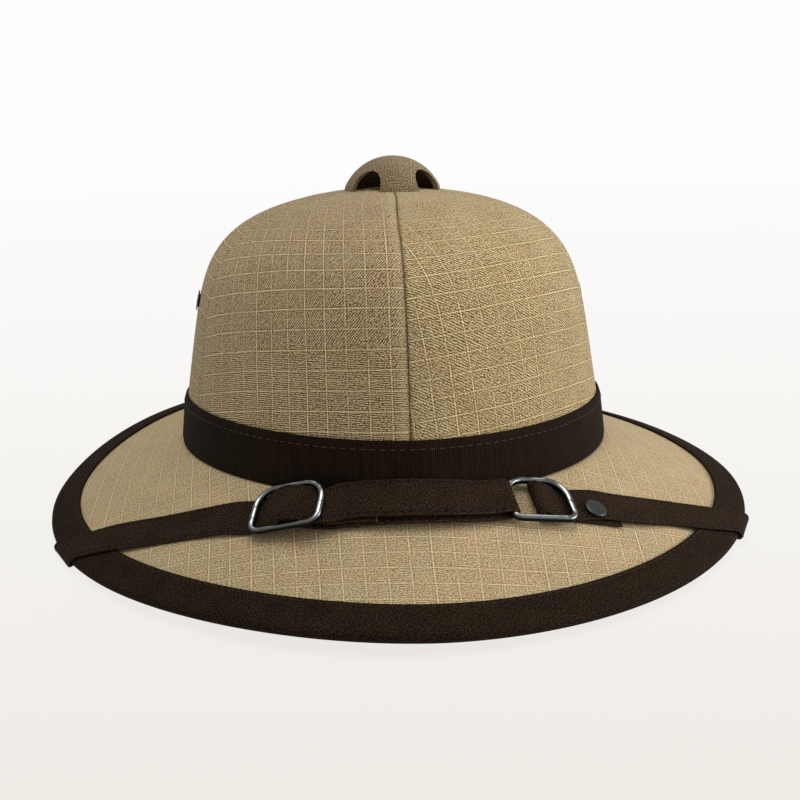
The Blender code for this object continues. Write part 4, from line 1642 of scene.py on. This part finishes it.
@dataclass
class ChinStrap:
    """Both halves of the chin strap, laid over the brim's front."""

    shape: HelmetShape
    left: SlideFrame
    right: SlideFrame
    width: float = 15.6
    thick: float = 1.0
    passing: float = 2.35
    rim_wrap: float = 3.3
    anchor_height: float = 20.0
    anchor_gap: float = 1.0
    bar_pass: float = 2.95
    return_drop: float = 6.2
    end_drop: float = 3.3
    stitch_at: float = 6.4
    stitch_sink: float = 0.04
    stitch: Stitch = Stitch(3.1, 2.3, 0.19, seed=17)
    loose_stitch: Stitch = Stitch(0.4, 0.6, 0.09, waver=0.35, seed=23)
    loose_count: int = 44
    step: float = 1.1

    def lay(self, lays: Sequence[Sequence[float]], side: float = 1.0) -> list[Knot]:
        """Knots laid over the brim at (angle, out, lift, roll); side -1 faces them down.

        Args:
            lays: The places.
            side: 1 for a face that looks up, -1 for down.

        Returns:
            The knots in their order.
        """
        knots = []
        for angle, out, lift, *roll in lays:
            place, up = self.shape.on_brim(angle, out, lift, *roll)
            knots.append(Knot(place, up * side))
        return knots

    def anchor(self, angle: float) -> list[Knot]:
        """Knots down the inner wall of the crown and round the edge of the head opening.

        Args:
            angle: Angle round the crown, in degrees.

        Returns:
            The knots in their order.
        """
        shape = self.shape
        margin = shape.crown_inset + shape.wall
        bend = self.anchor_gap + self.thick / 2
        inward = unit(-shape.ring(angle) * (1.0, 1.0, 0.0))
        down = np.array([0.0, 0.0, -1.0])
        knots = []
        for height in (self.anchor_height, self.anchor_height / 2, 0.0):
            lean = shape.band_lean * max(height - shape.band_foot, 0.0) / (shape.band_top - shape.band_foot)
            knots.append(Knot(shape.place(shape.ring(angle, margin + bend + lean, height)), inward))
        edge = shape.place(shape.ring(angle, margin, -1.0))
        for turn in np.radians((0.0, 45.0, 90.0)):
            side = inward * math.cos(turn) + down * math.sin(turn)
            knots.append(Knot(edge + side * bend, side))
        return knots

    def over_rim(self, start: float, end: float) -> list[Knot]:
        """Knots round the rim from below at one angle to above at another.

        Args:
            start: Angle under the rim.
            end: Angle over it.

        Returns:
            The knots in their order.
        """
        knots = []
        for share in np.linspace(0.0, 1.0, 7):
            angle = start + (end - start) * share
            place, side = self.shape.rim_fold(angle, self.rim_wrap, -90.0 + 180.0 * share)
            knots.append(Knot(place, side, self.shape.brim_axes(angle, 1.0)[0]))
        return knots

    def line(self, knots: Sequence[Knot]) -> tuple[Array, Array]:
        """Smooth centre line through knots, and the line across the strap at each point.

        Args:
            knots: Knots of the strap's centre line.

        Returns:
            The centre line and the unit lines across.
        """
        places = np.array([knot.place for knot in knots])
        ways = headings(places)
        across = []
        for knot, way in zip(knots, ways):
            line = unit(np.cross(knot.face, way))
            if knot.fold is not None:
                line = knot.fold if knot.fold @ line > 0 else -knot.fold
            across.append(line)
        full, lines = [], []
        for i in range(len(knots) - 1):
            chord = np.linalg.norm(places[i + 1] - places[i])
            count = max(1, round(chord / self.step))
            handles = places[i] + ways[i] * chord / 3, places[i + 1] - ways[i + 1] * chord / 3
            for t in np.arange(count) / count:
                spot = (1 - t) ** 3 * places[i] + 3 * t * (1 - t) ** 2 * handles[0]
                full.append(spot + 3 * t * t * (1 - t) * handles[1] + t ** 3 * places[i + 1])
                lines.append(across[i] + (across[i + 1] - across[i]) * t)
        full.append(places[-1])
        lines.append(across[-1])
        return np.array(full), np.array(lines)

    def frames(self, knots: Sequence[Knot]) -> tuple[Array, Array, Array, Array]:
        """Centre line, half width across, side and length of a strap along its knots.

        Args:
            knots: Knots of the strap's centre line.

        Returns:
            Those four, for each point of the centre line.
        """
        centre, line = self.line(knots)
        way = headings(centre)
        skew = np.linalg.norm(np.cross(line, way), axis=-1, keepdims=True)
        across = line * (self.width / 2 / skew)
        side = unit(np.cross(way, line))
        return centre, across, side, run_along(centre)

    def ribbon(self, name: str, knots: Sequence[Knot], cloth: Material) -> Piece:
        """Rounded flat strap along its knots.

        Args:
            name: The piece's name.
            knots: Knots of the strap's centre line.
            cloth: The cloth's material.

        Returns:
            The new object.
        """
        centre, across, side, length = self.frames(knots)
        half, thick = self.width / 2, self.thick / 2
        section = []
        for turn in np.radians(np.linspace(-90.0, 90.0, 7)):
            section.append((half - thick + thick * math.cos(turn), thick * math.sin(turn)))
        flat = [(x, thick) for x in np.linspace(half - thick, thick - half, 8)[1:-1]]
        section += flat + [(-x, -z) for x, z in section] + [(-x, -z) for x, z in flat]
        ring = np.array(section)
        points = centre[:, None] + across[:, None] * (ring[:, 0] / half)[:, None]
        points = points + side[:, None] * ring[:, 1][:, None]
        rows, sides = points.shape[:2]
        points[..., 2] = np.maximum(points[..., 2], 0.0)
        faces = grid_faces(rows, sides, True)
        uv = [(length[corner // sides], ring[corner % sides, 0]) for quad in faces for corner in quad]
        faces.append(tuple(reversed(range(sides))))
        uv += [(length[0] + z, x) for x, z in ring[::-1]]
        faces.append(tuple(range((rows - 1) * sides, rows * sides)))
        uv += [(length[-1] + z, x) for x, z in ring]
        LOG.info("%s: %.0f mm long", name, length[-1])
        strap = make_piece(name, points.reshape(-1, 3) * MM, faces, cloth, np.array(uv) * MM, 60.0)
        merged(strap)
        return strap

    def sew(
        self, name: str, knots: Sequence[Knot], thread: Material, stitches: StitchTree,
    ) -> Piece:
        """Stitch rows along both edges, on both faces.

        Args:
            name: The piece's name.
            knots: Knots of the strap's centre line.
            thread: The thread's material.
            stitches: The tree that lays stitches.

        Returns:
            The new object.
        """
        centre, across, side, _ = self.frames(knots)
        aside = across * (self.stitch_at / (self.width / 2))
        lift = side * (self.thick / 2 - self.stitch_sink)
        rows = []
        for edge in (-1.0, 1.0):
            for face in (-1.0, 1.0):
                row = centre + aside * edge + lift * face
                row[:, 2] = np.maximum(row[:, 2], 0.3)
                rows.append(row[2:-2])
        return stitches.sew(name, rows, thread, self.stitch)

    def fray(
        self, name: str, knots: Sequence[Knot], thread: Material, stitches: StitchTree,
    ) -> Piece:
        """Short loose threads at the strap's cut end.

        Args:
            name: The piece's name.
            knots: Knots of the strap's centre line.
            thread: The thread's material.
            stitches: The tree that lays stitches.

        Returns:
            The new object.
        """
        centre, across, side, _ = self.frames(knots)
        way = unit(centre[-1] - centre[-2])
        lines = []
        for index, share in enumerate(np.linspace(-0.97, 0.97, self.loose_count)):
            lean = 0.3 * math.sin(index * 2.4)
            length = 0.7 + 0.4 * math.sin(index * 3.1)
            start = centre[-1] + across[-1] * share + side[-1] * 0.35 * math.sin(index * 1.7) - way * 0.2
            lines.append([start, start + (way + unit(across[-1]) * lean) * length])
        return stitches.sew(name, lines, thread, self.loose_stitch)

    def left_knots(self) -> list[Knot]:
        """Knots of the left half: anchor, rim, left frame, right frame's bar and back.

        Returns:
            The knots in their order.
        """
        left, reach = self.left, self.left.reach
        knots = self.anchor(-90.0)
        knots += self.lay((
            (-88.0, .160, -2.5), (-83.5, .380, -2.5), (-77.0, .600, -2.7), (-71.5, .790, -3.6),
        ), -1.0)
        knots += self.over_rim(-66.6, -63.0)
        knots += self.lay((
            (-61.0, .885, 3.3), (-57.4, .743, 3.3), (-50.6, .541, 2.0),
            (-43.9, .393, 1.9), (-38.0, .300, 2.5),
        ))
        knots.append(left.spot(-reach, -self.passing))
        knots.append(left.spot(left.bar_shift, self.bar_pass))
        knots.append(left.spot(reach, -self.passing))
        knots += self.lay((
            (-15.3, .074, 5.47, 2.6), (-3.9, .055, 6.79, 2.4),
            (7.6, .063, 6.26, 1.9), (16.2, .084, 5.16, -1.2),
        ))
        knots += self.right.wrap(-self.right.reach, 90.0, -90.0)
        knots += self.lay((
            (16.0, .111, 3.17, -1.0), (6.0, .088, 4.36, 2.7),
            (-4.1, .083, 4.52, 4.9), (-15.2, .111, 2.97, 2.2),
        ), -1.0)
        knots.append(left.spot(reach, -self.return_drop, True))
        knots += left.wrap(left.bar_shift, -90.0, -270.0)
        knots.append(left.spot(reach, -self.end_drop))
        knots += self.lay(((-15.5, .095, 4.2, 3.0), (-8.8, .080, 4.9, 3.0)))
        return knots

    def right_knots(self) -> list[Knot]:
        """Knots of the right half: anchor, rim, round the right frame's bar and back under.

        Returns:
            The knots in their order.
        """
        right, reach = self.right, self.right.reach
        knots = self.anchor(90.0)
        knots += self.lay((
            (88.0, .160, -2.5), (83.0, .380, -2.5), (75.5, .600, -2.7), (69.5, .790, -3.6),
        ), -1.0)
        knots += self.over_rim(64.2, 61.0)
        knots += self.lay((
            (58.8, .890, 3.3), (54.6, .722, 3.1), (50.8, .576, 2.3),
            (43.2, .418, 3.4), (38.5, .318, 3.5),
        ))
        knots.append(right.spot(reach, -self.passing))
        knots += right.wrap(right.bar_shift, 90.0, 270.0)
        knots.append(right.spot(reach, -self.bar_pass, True))
        knots += self.lay(((39.1, .354, 2.0), (41.5, .413, 2.0)), -1.0)
        return knots

    def build(
        self,
        cloth: Material,
        thread: Material,
        loose: Material,
        stitches: StitchTree,
    ) -> None:
        """Builds and seats both halves with their stitches and frayed ends.

        Args:
            cloth: The cloth's material.
            thread: The thread's material.
            loose: The material of the frayed ends.
            stitches: The tree that lays stitches.
        """
        for side, knots in (("left", self.left_knots()), ("right", self.right_knots())):
            settle_piece(self.ribbon(f"webbing_{side}", knots, cloth), Slot.STRAP, f"strap_{side}")
            settle_piece(self.sew(f"strap_stitches_{side}", knots, thread, stitches), Slot.STRAP)
            settle_piece(self.fray(f"strap_fray_{side}", knots, loose, stitches), Slot.STRAP)


@dataclass
class SnapCap:
    """Domed snap cap on the right half of the strap."""

    shape: HelmetShape
    spot: tuple[float, float, float] = (37.0, 0.353, 4.4)
    radius: float = 4.2
    height: float = 1.0
    brow: float = 0.35

    def build(self, metal: Material) -> None:
        """Turns and seats the cap.

        Args:
            metal: The metal's material.
        """
        profile = [(0.0, self.height)]
        for bend in np.radians(np.linspace(10.0, 84.0, 9)):
            rise = self.brow + (self.height - self.brow) * math.cos(bend)
            profile.append((self.radius * math.sin(bend), rise))
        profile += [(self.radius, 0.2), (self.radius * 0.95, 0.0), (0.0, 0.0)]
        place, up = self.shape.on_brim(*self.spot)
        cap = Turned("snap_dome", tuple(profile), 48).build(place, up, metal)
        settle_piece(cap, Slot.BRIGHT_METAL, "snap_cap")


@dataclass(frozen=True)
class Lamp:
    """Round soft light over the helmet."""

    name: str
    way: tuple[float, float, float]
    distance: float
    size: float
    power: float


@dataclass
class Studio:
    """Pale floor, soft lights and the camera."""

    camera_place: tuple[float, float, float] = (-0.03032, -0.49242, 0.17082)
    azimuth: float = -3.86
    elevation: float = 14.85
    tilt: float = -1.33
    lens: float = 50.24
    sensor: float = 36.0
    floor_radius: float = 6.0
    floor_sides: int = 96
    floor_drop: float = 0.0002
    far_white: Colour = (0.988, 0.988, 0.988)
    near_white: Colour = (0.84, 0.811, 0.768)
    floor_shade: float = 0.1
    paper_span: tuple[float, float] = (-0.242, 0.349)
    fade_span: tuple[float, float] = (0.9, 3.5)
    sky: float = 0.6
    low_sky: float = 0.3
    sky_tint: Colour = (1.0, 0.995, 0.985)
    seen_white: Colour = (0.991, 0.991, 0.991)
    lamp_tint: Colour = (1.0, 0.985, 0.96)
    lamp_aim: float = 0.07
    lamps: tuple[Lamp, ...] = (
        Lamp("key", (0.98, -0.2, 0.17), 1.9, 1.3, 36.0),
        Lamp("overhead", (-0.08, -0.1, 1.0), 1.6, 1.3, 17.0),
    )

    def camera(self) -> None:
        """Sets the camera where the picture was taken from."""
        data = bpy.data.cameras.new("camera")
        data.lens = self.lens
        data.sensor_width = self.sensor
        data.clip_start = 0.01
        az, el, tilt = (math.radians(value) for value in (self.azimuth, self.elevation, self.tilt))
        back = Vector((math.sin(az) * math.cos(el), -math.cos(az) * math.cos(el), math.sin(el)))
        right = Vector((math.cos(az), math.sin(az), 0.0))
        up = back.cross(right)
        across = right * math.cos(tilt) + up * math.sin(tilt)
        upward = up * math.cos(tilt) - right * math.sin(tilt)
        camera = add_object("camera", data)
        turn = Matrix((across, upward, back)).transposed().to_4x4()
        camera.matrix_world = Matrix.Translation(self.camera_place) @ turn
        bpy.context.scene.camera = camera

    def floor_material(self) -> Material:
        """Pale floor that brightens into the white surround away from the camera.

        Returns:
            The finished material.
        """
        sketch = Sketch("floor_paper")
        place = sketch.solid()
        cloud = sketch.noise(place, 3.0, 1.0)
        base = sketch.tint(cloud, (0.84, 0.83, 0.81), (0.86, 0.85, 0.83))
        paper = sketch.finish(base_color=base, roughness=0.9)
        heading, dip = math.radians(self.azimuth), math.tan(math.radians(self.elevation))
        ahead = (-math.sin(heading), math.cos(heading), 0.0)
        start = sum(part * way for part, way in zip(self.camera_place, ahead))
        slope = self.camera_place[2] / sketch.maths("MAXIMUM", sketch.toward(place, ahead) - start, 0.05)
        drop = (slope - dip) / (1.0 + slope * dip)
        span = {"Value": drop, "From Min": self.paper_span[0], "From Max": self.paper_span[1]}
        share = sketch.node("ShaderNodeMapRange", None, span)
        distance = sketch.node("ShaderNodeVectorMath", {"operation": "LENGTH"}, {0: place}, "Value")
        share = share * (1.0 - distance.ease(*self.fade_span))
        shade = sketch.tint(share, self.far_white, self.near_white)
        glow = sketch.node("ShaderNodeEmission", None, {"Color": shade, "Strength": 1.0})
        parts = {0: 1.0 - self.floor_shade * share, 1: sketch.shader.outputs[0], 2: glow}
        whole = sketch.node("ShaderNodeMixShader", None, parts)
        feed(sketch.tree, sketch.tree.nodes["Material Output"].inputs["Surface"], whole)
        return paper

    def floor(self) -> None:
        """Lays the floor just under the rim."""
        turns = np.linspace(0.0, 2 * math.pi, self.floor_sides, endpoint=False)
        rim = np.stack([np.cos(turns), np.sin(turns), 0.0 * turns], -1) * self.floor_radius
        rim[:, 2] = -self.floor_drop
        make_piece("floor", rim, [tuple(range(self.floor_sides))], self.floor_material())

    def lights(self) -> None:
        """Hangs the lamps and sets the soft surround."""
        world = bpy.data.worlds.new("studio")
        bpy.context.scene.world = world
        world.use_nodes = True
        tree = world.node_tree
        tree.nodes.clear()
        place = add_node(tree, "ShaderNodeTexCoord")["Generated"]
        height = add_node(tree, "ShaderNodeSeparateXYZ", None, {0: place})["Z"]
        span = {"From Min": -0.1, "From Max": 0.8, "To Min": self.low_sky, "To Max": self.sky}
        glow = add_node(tree, "ShaderNodeMapRange", None, {"Value": height, **span})[0]
        tint = (*self.sky_tint, 1.0)
        soft = add_node(tree, "ShaderNodeBackground", None, {"Color": tint, "Strength": glow})[0]
        white = add_node(tree, "ShaderNodeBackground", None, {"Color": (*self.seen_white, 1.0)})[0]
        seen = add_node(tree, "ShaderNodeLightPath")["Is Camera Ray"]
        sky = add_node(tree, "ShaderNodeMixShader", None, {0: seen, 1: soft, 2: white})[0]
        add_node(tree, "ShaderNodeOutputWorld", None, {"Surface": sky})
        for lamp in self.lamps:
            data = bpy.data.lights.new(lamp.name, "AREA")
            data.shape = "DISK"
            data.size = lamp.size
            data.energy = lamp.power
            data.color = self.lamp_tint
            way = Vector(lamp.way).normalized()
            spot = way * lamp.distance + Vector((0.0, 0.0, self.lamp_aim))
            turn = way.to_track_quat("Z", "Y").to_matrix().to_4x4()
            add_object(lamp.name, data).matrix_world = Matrix.Translation(spot) @ turn

    def build(self) -> None:
        """Sets up the whole studio."""
        self.camera()
        self.floor()
        self.lights()
        bpy.context.scene.view_settings.view_transform = "Standard"


@dataclass
class Helmet:
    """The whole helmet with its finishes."""

    shape: HelmetShape

    def crown_cloths(self) -> dict[str, Material]:
        """Cloths of the crown, by gore or by side of the helmet.

        Returns:
            The cloths.
        """
        shaded = {"ground": (0.24, 0.168, 0.084), "strokes": 3.6, "fuzz": 9.0, "lines": 1.35}
        lit = {"ground": (0.262, 0.19, 0.09), "lean": -0.58, "level_below": 20.0, "strokes": 1.6}
        return {
            # The front-left gore gets a painted highlight along the front seam.
            "front_left": RipstopCloth("crown_ripstop_front", seam_highlight=0.13, **shaded).make(),
            "left": RipstopCloth("crown_ripstop_left", **shaded).make(),
            "right": RipstopCloth("crown_ripstop_right", **lit).make(),
        }

    def brim_cloth(self) -> Material:
        """Cloth of the brim, with its threads a little closer one way.

        Returns:
            The finished material.
        """
        return RipstopCloth(
            "brim_ripstop", (0.33, 0.25, 0.134), pitch=(8.1, 6.6), shade=(0.45, 0.37, 0.24),
            shine=(1.55, 1.65, 1.9), thread=(2.1, 2.3, 2.8), strokes=0.8,
        ).make()

    def frames(self) -> tuple[SlideFrame, SlideFrame]:
        """The strap's two slide frames.

        Returns:
            The left and the right frame, as seen from the front.
        """
        left = SlideFrame(
            self.shape, "left", ((-33.0, 0.245, 4.8), (-19.6, 0.130, 8.7)), length=29.0,
            bar_shift=0.0, roll=0.5, corners=(9.4, 8.0, 5.0, 4.8), strap_shift=-0.42,
        )
        right = SlideFrame(
            self.shape, "right", ((21.05, 0.108, 4.3), (32.95, 0.242, 5.1)), length=26.3,
            bar_shift=-0.5, roll=-0.5, corners=(8.8, 9.0, 3.4, 4.6), swell=1.32,
        )
        return left, right

    def build(self) -> None:
        """Builds every sub-assembly in order."""
        shape = self.shape
        # Painted shade: the cap's cloth is made darker than the crown's to stand for the weaker light that
        # falls on the cap.
        cap_cloth = RipstopCloth("cap_ripstop", (0.16, 0.115, 0.062), strokes=0.5, lines=0.5).make()
        ribbon = RibbedRibbon("band_ribs", (0.003, 0.0015, 0.0006), (0.024, 0.0135, 0.007)).make()
        tape = TwillTape("rim_twill", (0.003, 0.0015, 0.0006), (0.038, 0.023, 0.012)).make()
        # The webbing gets painted shade along its two stitch rows.
        webbing = TwillTape(
            "strap_twill", (0.004, 0.0022, 0.001), (0.047, 0.029, 0.016), lean=-0.6, edge=7.8, shaded_groove_at=6.4,
        ).make()
        dark_thread = Thread("dark_thread", (0.004, 0.0025, 0.0015), (0.024, 0.015, 0.009)).make()
        brown_thread = Thread("brown_thread", (0.012, 0.008, 0.005), (0.06, 0.04, 0.024)).make()
        loose_thread = Thread("loose_thread", (0.03, 0.02, 0.013), (0.3, 0.24, 0.17)).make()
        # Frame metal with a painted highlight on the wire that faces up and forward, and painted shade on
        # its sides.
        bright = PlatedMetal(
            "gunmetal_plate", (0.1, 0.106, 0.108), (0.3, 0.31, 0.3), 0.24, highlight_way=(0.0, -0.3, 0.954),
        ).make()
        snap = PlatedMetal("snap_plate", (0.035, 0.038, 0.038), (0.12, 0.125, 0.12), 0.3).make()
        dull = PlatedMetal("eyelet_metal", (0.015, 0.013, 0.011), (0.05, 0.044, 0.038), 0.38).make()
        stitches = StitchTree()
        Crown(shape).build(self.crown_cloths())
        HatBand(shape).build(ribbon, brown_thread, stitches)
        Brim(shape).build(self.brim_cloth(), tape, dark_thread, stitches)
        VentCap(shape).build(cap_cloth)
        Eyelets(shape).build(dull)
        left, right = self.frames()
        left.build(bright)
        right.build(bright)
        ChinStrap(shape, left, right).build(webbing, dark_thread, loose_thread, stitches)
        SnapCap(shape).build(snap)


def main() -> None:
    """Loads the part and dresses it."""
    logging.basicConfig(level=logging.INFO, format="%(name)s: %(message)s")
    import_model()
    Studio().build()
    Helmet(HelmetShape()).build()


if __name__ == "__main__":
    main()
